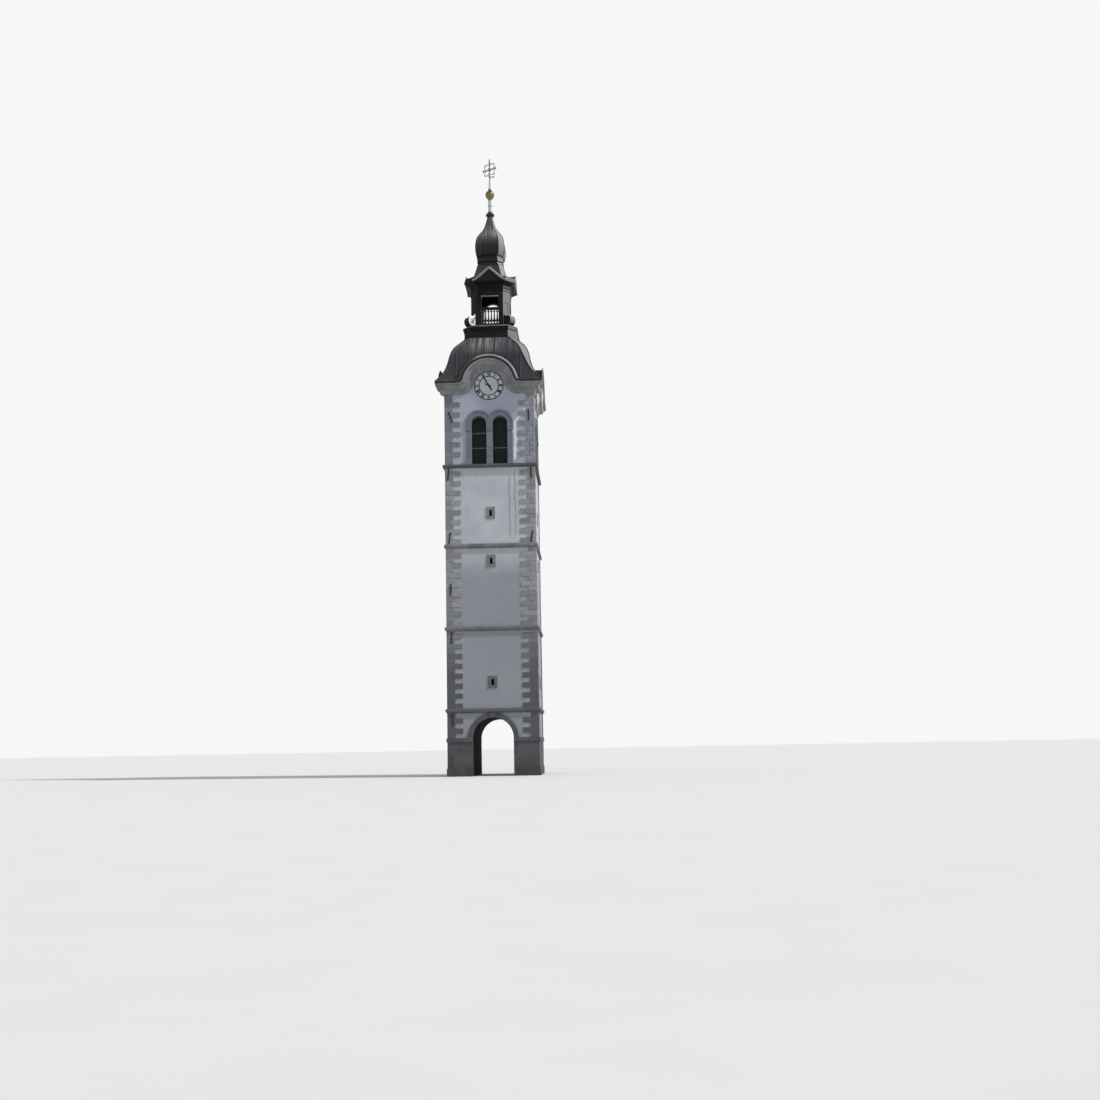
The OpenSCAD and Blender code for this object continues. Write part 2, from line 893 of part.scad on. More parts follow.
module bell_roof() {
    color(dark_metal) difference() {
        bell_outer();
        bell_inner();
        gable_tunnels(eyebrow_t);
    }
}

module eyebrow_roofs() {
    color(dark_metal) difference() {
        each_side() upright(-eaves_half, eaves_half - half + gable_t) difference() {
            gable_shape(eyebrow_t);
            gable_shape();
        }
        bell_inner();
    }
}

// Lantern

drum_half = bell_top_half - drum_out;
drum_face = drum_half - bell_chamfer;

// Rows of a chamfered wall with mouldings, given as [height, projection] over its face
function moulded(wall_half, face, bands) = [for (b = bands) [wall_half + b[1], face + b[1] * 0.6, b[0]]];

drum_rows = moulded(drum_half, drum_face, [
    [bell_top_z, drum_out], [bell_top_z + drum_out, drum_out], [bell_top_z + 2 * drum_out, 0],
    [drum_top_z - 4 * drum_out, 0], [drum_top_z - 3 * drum_out, drum_out / 2],
    [drum_top_z - 2 * drum_out, drum_out], [drum_top_z, drum_out]]);

module lantern_drum() {
    room = 2 * (drum_face - drum_t);
    color(dark_metal) difference() {
        chamfered_body(drum_rows);
        centred_block(room, room, bell_top_z - 1, drum_h + 2);
    }
}

// The deck falls away at its edge
module lantern_floor() {
    color(dark_metal) chamfered_body(moulded(drum_half, drum_face, [
        [drum_top_z, drum_out + 30], [drum_top_z + lantern_floor_t * 0.3, drum_out + 30], [lantern_z, -drum_out]]));
}

module lantern_tube(z, h) {
    inner = lantern_half - pier_t;
    inner_face = lantern_face_half - pier_t * 0.4;
    difference() {
        chamfered_body([[lantern_half, lantern_face_half, z], [lantern_half, lantern_face_half, z + h]]);
        chamfered_body([[inner, inner_face, z - 1], [inner, inner_face, z + h + 1]]);
    }
}

// Distance from the axis to the piers' corner faces, and the width of these faces
pier_x = (lantern_half + lantern_face_half) / sqrt(2);
pier_w = (lantern_half - lantern_face_half) * sqrt(2);

module each_pier() {
    for (a = [45:90:315]) rotate([0, 0, a]) translate([pier_x, 0, 0]) children();
}

module pier_band(z) {
    each_pier() translate([-panel_d, -pier_w / 2, z])
        cube([panel_d + pier_band_out, pier_w, pier_band_h]);
}

module lantern_openings() {
    for (side = [FRONT, RIGHT]) on_side(side) upright(-reach, 2 * reach) {
        translate([0, lantern_spring_z]) circle(r = lantern_opening_r, $fn = 72);
        translate([-lantern_opening_r, lantern_z - 1]) square([lantern_opening_w, lantern_spring_z - lantern_z + 1]);
    }
}

module lantern_piers() {
    panel_foot = lantern_z + volute_h + pier_band_h;
    color(dark_metal) difference() {
        lantern_tube(lantern_z, lantern_spring_z - lantern_z);
        lantern_openings();
        each_pier() translate([-panel_d, -panel_w / 2, panel_foot])
            cube([panel_d + 1, panel_w, lantern_spring_z - 2 * pier_band_h - panel_foot]);
    }
}

// The arches carry the piers' capitals, and a tie bar spans each opening
module lantern_arches() {
    color(dark_metal) {
        difference() {
            lantern_tube(lantern_spring_z, lantern_top_z - lantern_spring_z);
            lantern_openings();
        }
        pier_band(lantern_top_z - pier_band_h);
        pier_band(lantern_top_z - 3 * pier_band_h);
        each_side() upright(-lantern_half, tie_t) intersection() {
            translate([-lantern_opening_r - 5, lantern_z + tie_up]) square([lantern_opening_w + 10, tie_t]);
        }
    }
}

// A block, a ring that nearly meets its neighbours, and a slender body
module baluster(h) {
    r = baluster_r;
    rotate_extrude($fn = 24) polygon(concat(
        [[0, 0], [r, 0], [r, h * 0.06]],
        smooth([[r * 0.72, h * 0.09], [r * 1.05, h * 0.26], [r * 0.72, h * 0.5], [r * 0.62, h * 0.78]], 3),
        [[r * 1.2, h * 0.81], [r * 1.2, h * 0.85], [r * 0.62, h * 0.88], [r * 0.62, h * 0.95], [r, h * 0.97],
        [r, h], [0, h]]));
}

module lantern_balustrades() {
    pitch = lantern_opening_w / baluster_count;
    y = -lantern_half + pier_t / 2;
    color(dark_metal) each_side() {
        for (rail = [[0, rail_foot_h], [balustrade_h - rail_h, rail_h]])
            translate([-lantern_opening_r, y - rail_d / 2, lantern_z + rail[0]])
                cube([lantern_opening_w, rail_d, rail[1]]);
        for (i = [0:baluster_count - 1])
            translate([(i + 0.5) * pitch - lantern_opening_r, y, lantern_z + rail_foot_h])
                baluster(balustrade_h - rail_h - rail_foot_h);
    }
}

// A scroll with a pointed tip that leans on the pier
eye_x = volute_reach / 2;
scroll_squeeze = eye_x / scroll_r;

module volute_shape() {
    translate([eye_x, scroll_r]) scale([scroll_squeeze, 1]) circle(r = scroll_r, $fn = 64);
    polygon(concat([[0, 0], [eye_x, 0], [eye_x, 2 * scroll_r]],
        smooth([[eye_x, 2 * scroll_r], [eye_x * 0.6, 2.08 * scroll_r], [eye_x * 0.25, 2.3 * scroll_r],
            [0, volute_h]], 4)));
}

module lantern_volutes() {
    color(dark_metal) each_pier() translate([0, 0, lantern_z])
        rotate([90, 0, 0]) linear_extrude(volute_t, center = true) volute_shape();
}

// The raised band runs down from a leaf at its tip and coils round the eye
function spiral_point(t, in) = let (r = (scroll_r - in) * (1 - 0.64 * pow(t, 1.5)), a = 100 - 450 * t)
    [eye_x + r * cos(a) * scroll_squeeze, scroll_r + r * sin(a)];

module spiral_band() {
    turns = [for (i = [0:28]) i / 28];
    polygon(concat(
        [for (t = turns) spiral_point(t, 12)],
        [for (i = [len(turns) - 1:-1:0]) spiral_point(turns[i], 12 + spiral_w * (1 - 0.6 * turns[i]))]));
    translate(spiral_point(1, 12 + spiral_w * 0.2)) circle(r = spiral_w * 0.42, $fn = 24);
    polygon([spiral_point(0.13, 12), spiral_point(0.06, -40), spiral_point(0, -20), [eye_x * 0.3, volute_h],
        [eye_x * 0.42, 2 * scroll_r], spiral_point(0, 12 + spiral_w), spiral_point(0.13, 12 + spiral_w)]);
}

module volute_scrolls() {
    color("ivory") each_pier() translate([0, volute_t / 2 + spiral_out, lantern_z])
        rotate([90, 0, 0]) linear_extrude(spiral_out) spiral_band();
}

// Upper roof

cove = 1 - fascia_h / upper_cornice_h;
upper_cornice_rows = rows_from(
    [[0, 0, 0.75], [0.25 * cove, 0.06, 0.77], [0.5 * cove, 0.28, 0.82], [0.75 * cove, 0.66, 0.92],
    [0.98 * cove, 0.84, 0.98], [cove, 1, 1], [1, 1, 1]],
    upper_cornice_z, upper_cornice_h, upper_half, lantern_half + pier_band_out, upper_corner);

// Open above, with a thin ceiling over the lantern
module upper_cornice() {
    room = 2 * (lantern_half - pier_t);
    color(dark_metal) difference() {
        chamfered_body(upper_cornice_rows);
        centred_block(room, room, upper_cornice_z + ceiling_t, upper_cornice_h);
    }
}

// It flares sharply at its foot, where the corners are cut widest
upper_cut = upper_chamfer / upper_corner;
upper_rows = rows_from(
    smooth([[0, 1, 1], [0.045, 0.74, 0.86], [0.11, 0.51, 0.72], [0.27, 0.32, 0.61], [0.575, 0.155, upper_cut],
        [1, 0, upper_cut]], 3),
    upper_roof_z, upper_roof_h, upper_half, upper_top_half, upper_corner);
gablet_z = upper_roof_z - fascia_h;

module upper_solid() {
    chamfered_body(upper_rows);
}

// Concave at the foot, which starts on the fascia, then straight to the point
module gablet_shape() {
    side = smooth([[gablet_half, gablet_z], [gablet_half * 0.86, gablet_z + gablet_h * 0.07],
        [gablet_half * 0.66, gablet_z + gablet_h * 0.24], [gablet_half * 0.34, gablet_z + gablet_h * 0.6],
        [0, gablet_z + gablet_h]], 3);
    polygon(concat(side, [for (i = [len(side) - 2:-1:0]) [-side[i][0], side[i][1]]]));
}

module upper_gablets() {
    foot = [for (z = [gablet_z - 1, upper_roof_z]) [upper_half + 1, upper_half - upper_corner + sharp, z]];
    color(dark_metal) difference() {
        for (side = [FRONT, RIGHT]) on_side(side) upright(-upper_half, 2 * upper_half) gablet_shape();
        chamfered_body(concat(foot, upper_rows));
    }
}

module upper_roof() {
    color(dark_metal) difference() {
        upper_solid();
        chamfered_body([for (r = upper_rows) [r[0], r[1], r[2] + (r[2] < neck_z ? -1 : 1)]], roof_t);
    }
}

neck_rows = moulded(neck_half, neck_half - upper_chamfer, [
    [neck_z, upper_top_half - neck_half + neck_ring_out / 2], [neck_z + neck_h * 0.12, neck_ring_out / 2],
    [neck_z + neck_h * 0.3, 0], [neck_z + neck_h * 0.36, neck_ring_out], [neck_z + neck_h * 0.66, neck_ring_out],
    [neck_z + neck_h * 0.72, 0], [onion_z, 0]]);

module onion_neck() {
    room = 2 * (neck_half - upper_chamfer);
    color(dark_metal) difference() {
        chamfered_body(neck_rows);
        centred_block(room, room, neck_z - 1, neck_h + 2);
    }
}

// Half widths and corner cuts as shares of the widest, so the corners close in with the shape
onion_rows = [for (r = smooth([
    [0, 0.90], [0.047, 0.945], [0.103, 0.975], [0.192, 1], [0.30, 0.985], [0.40, 0.93], [0.46, 0.865],
    [0.56, 0.675], [0.643, 0.485], [0.752, 0.345], [0.885, 0.235], [1, 0.15]], 2))
    [onion_half * r[1], (onion_half - onion_chamfer) * r[1], onion_z + onion_h * r[0]]];

// Its floor lies on the neck
module onion_dome() {
    hollow_z = onion_z + onion_t / 2;
    color(dark_metal) difference() {
        chamfered_body(onion_rows);
        chamfered_body([for (r = onion_rows) if (r[2] > hollow_z && r[2] < onion_z + onion_h * 0.7) r], onion_t);
    }
}

// Finial

module finial_post() {
    color("whitesmoke") rotate_extrude($fn = 48) polygon(concat(
        [[0, collar_z], [collar_r * 0.7, collar_z]],
        arc(collar_r * 0.75, collar_z + collar_h * 0.35, collar_h * 0.3, -60, 60, 4),
        [[collar_r * 0.6, collar_z + collar_h * 0.75], [collar_r * 0.6, post_z], [post_r, post_z],
        [post_r, post_z + post_h * 0.5], [post_r * 1.35, post_z + post_h * 0.52],
        [post_r * 1.35, post_z + post_h * 0.58], [post_r, post_z + post_h * 0.6], [post_r, ball_z], [0, ball_z]]));
}

module gilt_ball() {
    color(gilt) rotate_extrude($fn = 64) polygon(concat(
        [[0, ball_z], [post_r, ball_z]],
        arc(0, ball_z + ball_h / 2, ball_r, -55, 55, 16),
        [[post_r * 0.8, spindle_z], [0, spindle_z]]));
}

// A cross with ringed corners, leaf tips and a pointed head
module cross_shape() {
    arm_z = cross_z + cross_h * 0.56;
    ring_r = cross_w * 0.19;
    tip_r = cross_t * 0.75;
    arm = cross_w / 2;
    translate([-cross_t / 2, cross_z]) square([cross_t, cross_h - 2 * cross_t]);
    polygon([[-cross_t * 0.9, cross_z + cross_h - 3 * cross_t], [0, cross_z + cross_h],
        [cross_t * 0.9, cross_z + cross_h - 3 * cross_t]]);
    translate([-arm, arm_z - cross_t / 2]) square([cross_w, cross_t]);
    for (m = [-1, 1]) {
        for (n = [-1, 1]) {
            translate([m * ring_r, arm_z + n * ring_r]) difference() {
                circle(r = ring_r, $fn = 36);
                circle(r = ring_r - cross_t * 0.6, $fn = 36);
            }
            translate([m * (arm - tip_r), arm_z + n * tip_r * 1.2]) circle(r = tip_r, $fn = 24);
            translate([m * tip_r * 1.2, arm_z + n * (arm - tip_r)]) circle(r = tip_r, $fn = 24);
            translate([m * 1.75 * ring_r, arm_z + n * 1.75 * ring_r]) circle(r = tip_r, $fn = 24);
        }
    }
}

// The small arrow points to the side and up
module arrow_shape() {
    translate([0, -cross_t / 4]) square([arrow_len * 0.7, cross_t / 2]);
    polygon([[arrow_len * 0.62, -cross_t], [arrow_len, 0], [arrow_len * 0.62, cross_t]]);
}

module finial_cross() {
    arrow_z = cross_z + cross_h * 0.24;
    color(iron) {
        rotate_extrude($fn = 36) polygon([
            [0, spindle_z], [post_r * 0.85, spindle_z], [post_r * 0.5, spindle_z + spindle_h * 0.6],
            [post_r * 0.7, spindle_z + spindle_h * 0.7], [cross_t, cross_z], [cross_t, cross_z + cross_t],
            [0, cross_z + cross_t]]);
        rotate([0, 0, cross_turn]) {
            upright(-cross_t / 2, cross_t) cross_shape();
            upright(-cross_t / 2, cross_t) translate([0, arrow_z]) arrow_shape();
        }
    }
}

plinth();
dado();
impost_band();
passage_wall_left();
passage_wall_right();
passage_vault();
arch_rings();
string_courses();
belfry_sill_course();
shaft_wall_front();
shaft_wall_right();
shaft_wall_back();
shaft_wall_left();
quoins();
slot_window_frames();
wall_anchors();
belfry_wall_front();
belfry_wall_right();
belfry_wall_back();
belfry_wall_left();
belfry_surrounds();
belfry_shutters();
shutter_ledges();
belfry_floor();
main_cornice();
clock_gables();
clock_dials();
minute_hand_front();
minute_hand_right();
minute_hand_back();
minute_hand_left();
hour_hand_front();
hour_hand_right();
hour_hand_back();
hour_hand_left();
bell_roof();
eyebrow_roofs();
lantern_drum();
lantern_floor();
lantern_piers();
lantern_arches();
lantern_balustrades();
lantern_volutes();
volute_scrolls();
upper_cornice();
upper_gablets();
upper_roof();
onion_neck();
onion_dome();
finial_post();
gilt_ball();
finial_cross();
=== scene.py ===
import math
import random

import bmesh
import bpy
from mathutils import Matrix, Vector
from mathutils.bvhtree import BVHTree


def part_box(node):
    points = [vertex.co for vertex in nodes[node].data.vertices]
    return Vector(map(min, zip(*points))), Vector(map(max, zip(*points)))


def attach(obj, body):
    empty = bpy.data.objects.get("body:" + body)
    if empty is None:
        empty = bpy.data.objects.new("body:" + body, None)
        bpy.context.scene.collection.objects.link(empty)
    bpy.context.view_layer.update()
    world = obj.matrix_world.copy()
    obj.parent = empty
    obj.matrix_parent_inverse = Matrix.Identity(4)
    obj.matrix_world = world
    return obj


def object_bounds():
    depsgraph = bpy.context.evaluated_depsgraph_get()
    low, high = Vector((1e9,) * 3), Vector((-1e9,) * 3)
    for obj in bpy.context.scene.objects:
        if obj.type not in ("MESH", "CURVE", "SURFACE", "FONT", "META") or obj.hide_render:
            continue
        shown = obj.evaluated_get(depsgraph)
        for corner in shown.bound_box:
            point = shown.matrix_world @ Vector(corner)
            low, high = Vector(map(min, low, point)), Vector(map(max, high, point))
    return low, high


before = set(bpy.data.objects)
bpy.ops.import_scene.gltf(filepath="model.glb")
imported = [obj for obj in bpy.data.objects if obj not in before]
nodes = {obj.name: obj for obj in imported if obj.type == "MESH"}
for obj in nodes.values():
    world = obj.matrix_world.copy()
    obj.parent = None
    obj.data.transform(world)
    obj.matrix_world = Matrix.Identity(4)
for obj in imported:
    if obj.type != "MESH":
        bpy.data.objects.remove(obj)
cadBox = [list(corner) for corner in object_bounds()]
scene = bpy.context.scene


def footOf(node):
    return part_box(node)[0][2]


def topOf(node):
    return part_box(node)[1][2]


# Heights and half widths of the tower in metres, most of them from the frame
tower = {
    "half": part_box("passage_wall_right")[1][0], "rim": cadBox[1][0] - 0.025, "spring": topOf("impost_band"),
    "course1": footOf("string_courses"), "course2": 8.64, "course3": 13.64,
    "sill": footOf("belfry_sill_course"), "belfry": topOf("belfry_sill_course"), "clock": 23.66,
    "eaves": footOf("bell_roof"), "bellTop": topOf("bell_roof"), "deck": topOf("lantern_floor"),
    "upperRoof": footOf("upper_roof"), "neck": topOf("upper_roof"), "onion": footOf("onion_dome"),
    "collar": topOf("onion_dome"), "spindle": topOf("gilt_ball"),
}
# Turns from the front to each side
sides = [Matrix.Rotation(math.radians(90 * quarter), 4, "Z") for quarter in range(4)]


def srgb(r, g, b):
    def linear(c):
        c = c / 255
        return c / 12.92 if c <= 0.04045 else ((c + 0.055) / 1.055) ** 2.4
    return (linear(r), linear(g), linear(b), 1.0)


view = {"place": (5.9, -73.2, 1.71), "yaw": 1.974, "pitch": 5.6, "roll": 1.026, "lens": 38.86,
        "shiftY": 0.0723}


def placed(name, data):
    obj = bpy.data.objects.new(name, data)
    scene.collection.objects.link(obj)
    return obj


def placeCamera():
    data = bpy.data.cameras.new("camera")
    data.lens, data.sensor_width, data.shift_y = view["lens"], 36, view["shiftY"]
    data.clip_start, data.clip_end = 0.5, 2000
    turn = (Matrix.Rotation(math.radians(view["yaw"]), 4, "Z")
            @ Matrix.Rotation(math.radians(90 + view["pitch"]), 4, "X")
            @ Matrix.Rotation(math.radians(-view["roll"]), 4, "Z"))
    scene.camera = placed("camera", data)
    scene.camera.matrix_world = Matrix.Translation(view["place"]) @ turn


lighting = {"key": 3.3, "keyColour": (1.0, 0.97, 0.92), "keyAngle": 3, "azimuth": 74, "height": 44,
            "sky": 0.62, "skyColour": (0.90, 0.94, 1.0), "backdrop": 0.93}


# Sets a node's inputs, each from a value or from another node's socket
def feed(tree, node, inputs):
    for key, value in inputs.items():
        if isinstance(value, bpy.types.NodeSocket):
            tree.links.new(value, node.inputs[key])
        else:
            node.inputs[key].default_value = value


def addNode(tree, kind, inputs, **settings):
    node = tree.nodes.new(kind)
    for name, value in settings.items():
        setattr(node, name, value)
    feed(tree, node, inputs)
    return node


# The nodes of one shader tree
class Shading:
    def __init__(self, tree):
        self.tree = tree
        tree.nodes.clear()

    def add(self, kind, inputs=(), **settings):
        return addNode(self.tree, "ShaderNode" + kind, dict(inputs), **settings)

    def math(self, operation, *values):
        return self.add("Math", enumerate(values), operation=operation).outputs[0]

    def times(self, product, *others):
        for other in others:
            product = self.math("MULTIPLY", product, other)
        return product


def placeLights():
    sun = bpy.data.lights.new("key", "SUN")
    sun.energy, sun.color = lighting["key"], lighting["keyColour"]
    sun.angle = math.radians(lighting["keyAngle"])
    a, h = math.radians(lighting["azimuth"]), math.radians(lighting["height"])
    towards = Vector((math.sin(a) * math.cos(h), -math.cos(a) * math.cos(h), math.sin(h)))
    placed("key", sun).rotation_euler = towards.to_track_quat("Z", "Y").to_euler()
    scene.world = bpy.data.worlds.new("sky")
    scene.world.use_nodes = True
    sky = Shading(scene.world.node_tree)
    rays = sky.add("LightPath").outputs
    gloss = sky.math("ADD", rays["Is Glossy Ray"], rays["Is Transmission Ray"])
    seen = sky.math("ADD", rays["Is Camera Ray"], gloss)
    seen.node.use_clamp = True
    light = sky.add("Background", {"Color": (*lighting["skyColour"], 1), "Strength": lighting["sky"]})
    pale = sky.add("Background", {"Color": (lighting["backdrop"],) * 3 + (1,)})
    both = sky.add("MixShader", {0: seen, 1: light.outputs[0], 2: pale.outputs[0]})
    sky.add("OutputWorld", {"Surface": both.outputs[0]})
    scene.view_settings.view_transform = "Standard"


# A material under construction, with its colour laid on in layers at places of the surface itself
class Finish(Shading):
    def __init__(self, name):
        self.material = bpy.data.materials.new(name)
        self.material.use_nodes = True
        super().__init__(self.material.node_tree)
        self.shader = self.add("BsdfPrincipled")
        self.add("OutputMaterial", {"Surface": self.shader.outputs[0]})
        self.place = self.add("TexCoord").outputs["Object"]
        self.x, self.y, self.z = self.add("SeparateXYZ", {0: self.place}).outputs

    def absolute(self, value):
        return self.math("ABSOLUTE", value)

    # Distance across a side from its middle
    def across(self):
        return self.math("MINIMUM", self.absolute(self.x), self.absolute(self.y))

    # 1 on the left and right sides, 0 on the front and back
    def turned(self):
        return self.math("GREATER_THAN", self.absolute(self.x), self.absolute(self.y))

    def less(self, a, b):
        return self.math("SUBTRACT", a, b)

    def choose(self, share, a, b):
        return self.math("ADD", self.times(a, self.less(1.0, share)), self.times(b, share))

    def noise(self, scale, detail=4.0, rough=0.55, stretch=None, warp=0.0, place=None):
        if place is None:
            place = self.place
        if stretch:
            place = self.add("Mapping", {"Vector": place, "Scale": stretch}).outputs[0]
        return self.add("TexNoise", {"Vector": place, "Scale": scale, "Detail": detail,
                                     "Roughness": rough, "Distortion": warp}).outputs["Fac"]

    # Streaks that run down the slope on each of the four sides and on the corner facets between them
    def fall(self, scale, detail, rough, length):
        turned = self.turned()
        slant = self.absolute(self.times(self.facing((1, 0, 0)), self.facing((0, 1, 0))))
        facet = self.math("GREATER_THAN", slant, 0.08)
        around = self.less(self.absolute(self.x), self.absolute(self.y))
        across = self.choose(facet, self.choose(turned, self.x, self.y), around)
        join = self.add("CombineXYZ", {0: across, 1: self.times(self.z, length), 2: self.times(turned, 7.3)})
        return self.noise(scale, detail, rough, place=join.outputs[0])

    def cells(self, scale):
        return self.add("TexVoronoi", {"Vector": self.place, "Scale": scale}).outputs["Distance"]

    def ramp(self, value, low, high, start=0.0, end=1.0):
        limits = {"Value": value, "From Min": low, "From Max": high, "To Min": start, "To Max": end}
        return self.add("MapRange", limits, interpolation_type="SMOOTHSTEP").outputs["Result"]

    # 1 where the face looks the given way, 0 square to it
    def facing(self, way):
        normal = self.add("NewGeometry").outputs["Normal"]
        return self.add("VectorMath", {0: normal, 1: way}, operation="DOT_PRODUCT").outputs["Value"]

    def tone(self):
        return self.add("Attribute", attribute_name="tone").outputs["Fac"]

    # 1 just below each level, 0 further down than the reach
    def under(self, levels, reach):
        total = 0.0
        for level in levels:
            below = self.times(self.ramp(self.z, level - reach, level),
                               self.math("LESS_THAN", self.z, level + 0.01))
            total = self.math("MAXIMUM", total, below)
        return total

    # The first colour, to which each layer adds a tint
    def mix(self, share, a, b):
        self.colour = self.add("Mix", {0: share, 6: a, 7: b}, data_type="RGBA").outputs[2]

    def layer(self, share, tint):
        self.mix(share, self.colour, tint)

    def bump(self, height, distance, strength=0.6):
        node = self.add("Bump", {"Height": height, "Distance": distance, "Strength": strength})
        feed(self.tree, self.shader, {"Normal": node.outputs[0]})

    def done(self, roughness, metallic=0.0, specular=0.5):
        feed(self.tree, self.shader, {"Base Color": self.colour, "Roughness": roughness,
                                      "Metallic": metallic, "Specular IOR Level": specular})
        return self.material


plasterLook = {"wash": srgb(178, 181, 188), "old": srgb(165, 168, 176), "streak": srgb(128, 130, 134),
               "stoneDust": srgb(138, 140, 146), "crack": srgb(88, 90, 95), "splash": srgb(104, 104, 103),
               "patch": srgb(206, 208, 212), "grey": srgb(126, 129, 137), "lilacShade": srgb(152, 156, 172),
               "passageShade": srgb(15, 15, 16)}
# The cornice's colours are darker than the walls', partly dirt and partly painted shade under the eaves
corniceLook = {"wash": srgb(131, 132, 134), "old": srgb(113, 114, 117), "streak": srgb(92, 94, 98),
               "lime": srgb(202, 202, 198)}
# The way towards the key lamp; faces that look this way get a painted highlight
paintedSunWay = (0.93, -0.30, 0.20)


def makeCornicePlaster(name):
    f = Finish(name)
    look = corniceLook
    cloud = f.noise(1.4, 5.0, 0.6)
    mottled = f.noise(6.0, 6.0, 0.65)
    f.mix(f.ramp(cloud, 0.36, 0.66), look["wash"], look["old"])
    f.layer(f.ramp(f.noise(2.6, 5.0, 0.7, (3.0, 3.0, 0.3)), 0.48, 0.72, 0.0, 0.6), look["streak"])
    # Darker for a short way under the eaves
    f.layer(f.times(f.under((tower["eaves"],), 0.25), 0.5), look["streak"])
    # Painted sunlight in pale lime on the right-hand faces that look towards the key lamp, broken into runs
    # where the lime flakes off
    flaking = f.ramp(f.noise(3.0, 6.0, 0.7, (1.6, 1.6, 0.5), 0.4), 0.40, 0.56, 1.0, 0.35)
    paintedSun = f.times(f.ramp(f.facing(paintedSunWay), 0.3, 0.8), flaking, f.ramp(f.x, 2.0, 2.4))
    f.layer(paintedSun, look["lime"])
    f.bump(f.math("MULTIPLY_ADD", cloud, 1.5, mottled), 0.010)
    return f.done(f.ramp(mottled, 0.3, 0.8, 0.82, 0.96), specular=0.2)


# Long cracks in the third storey, each with the scale, detail and roughness of its bends
cracks = [{"x": 1.16, "low": 14.0, "high": 18.3, "sway": 0.5, "bends": (1.1, 6.0, 0.62)},
          {"x": 1.5, "low": 14.2, "high": 18.5, "sway": 0.36, "bends": (1.7, 5.0, 0.6)}]
# Loose plaster beside the belfry's right jamb, which leans away from the arch above its bend
scar = {"low": tower["belfry"] + 0.1, "high": 22.1, "inner": 1.44, "outer": 1.66, "bend": 21.35, "lean": 0.8}


def crackLines(f):
    total = 0.0
    for crack in cracks:
        sway = f.noise(*crack["bends"], (0.0, 0.0, 1.0))
        middle = f.math("MULTIPLY_ADD", sway, crack["sway"], crack["x"] - crack["sway"] / 2)
        away = f.absolute(f.less(f.x, middle))
        line = f.times(f.ramp(away, 0.006, 0.024, 1.0, 0.0), f.ramp(f.z, crack["low"], crack["low"] + 0.5),
                       f.ramp(f.z, crack["high"] - 0.5, crack["high"], 1.0, 0.0))
        total = f.math("MAXIMUM", total, line)
    return f.times(total, f.math("LESS_THAN", f.y, 0.2 - tower["half"]))


# How bright and how bare the loose plaster is
def loosePlaster(f, ragged):
    inner, outer = scar["inner"], scar["outer"]
    loose = f.times(f.ramp(f.z, scar["low"], scar["low"] + 0.2),
                    f.ramp(f.z, scar["high"], scar["high"] + 0.3, 1.0, 0.0))
    lean = f.times(f.math("MAXIMUM", f.less(f.z, scar["bend"]), 0.0), scar["lean"])
    wander = f.less(f.math("MULTIPLY_ADD", f.less(ragged, 0.5), 0.55, f.x), lean)
    bright = f.times(loose, f.ramp(wander, inner, inner + 0.04),
                     f.ramp(wander, outer - 0.06, outer, 1.0, 0.0))
    bare = f.times(loose, f.ramp(wander, outer, outer + 0.04), f.ramp(ragged, 0.50, 0.56, 0.0, 0.4))
    return bright, bare


passage = {"half": 1.26, "top": 3.5}


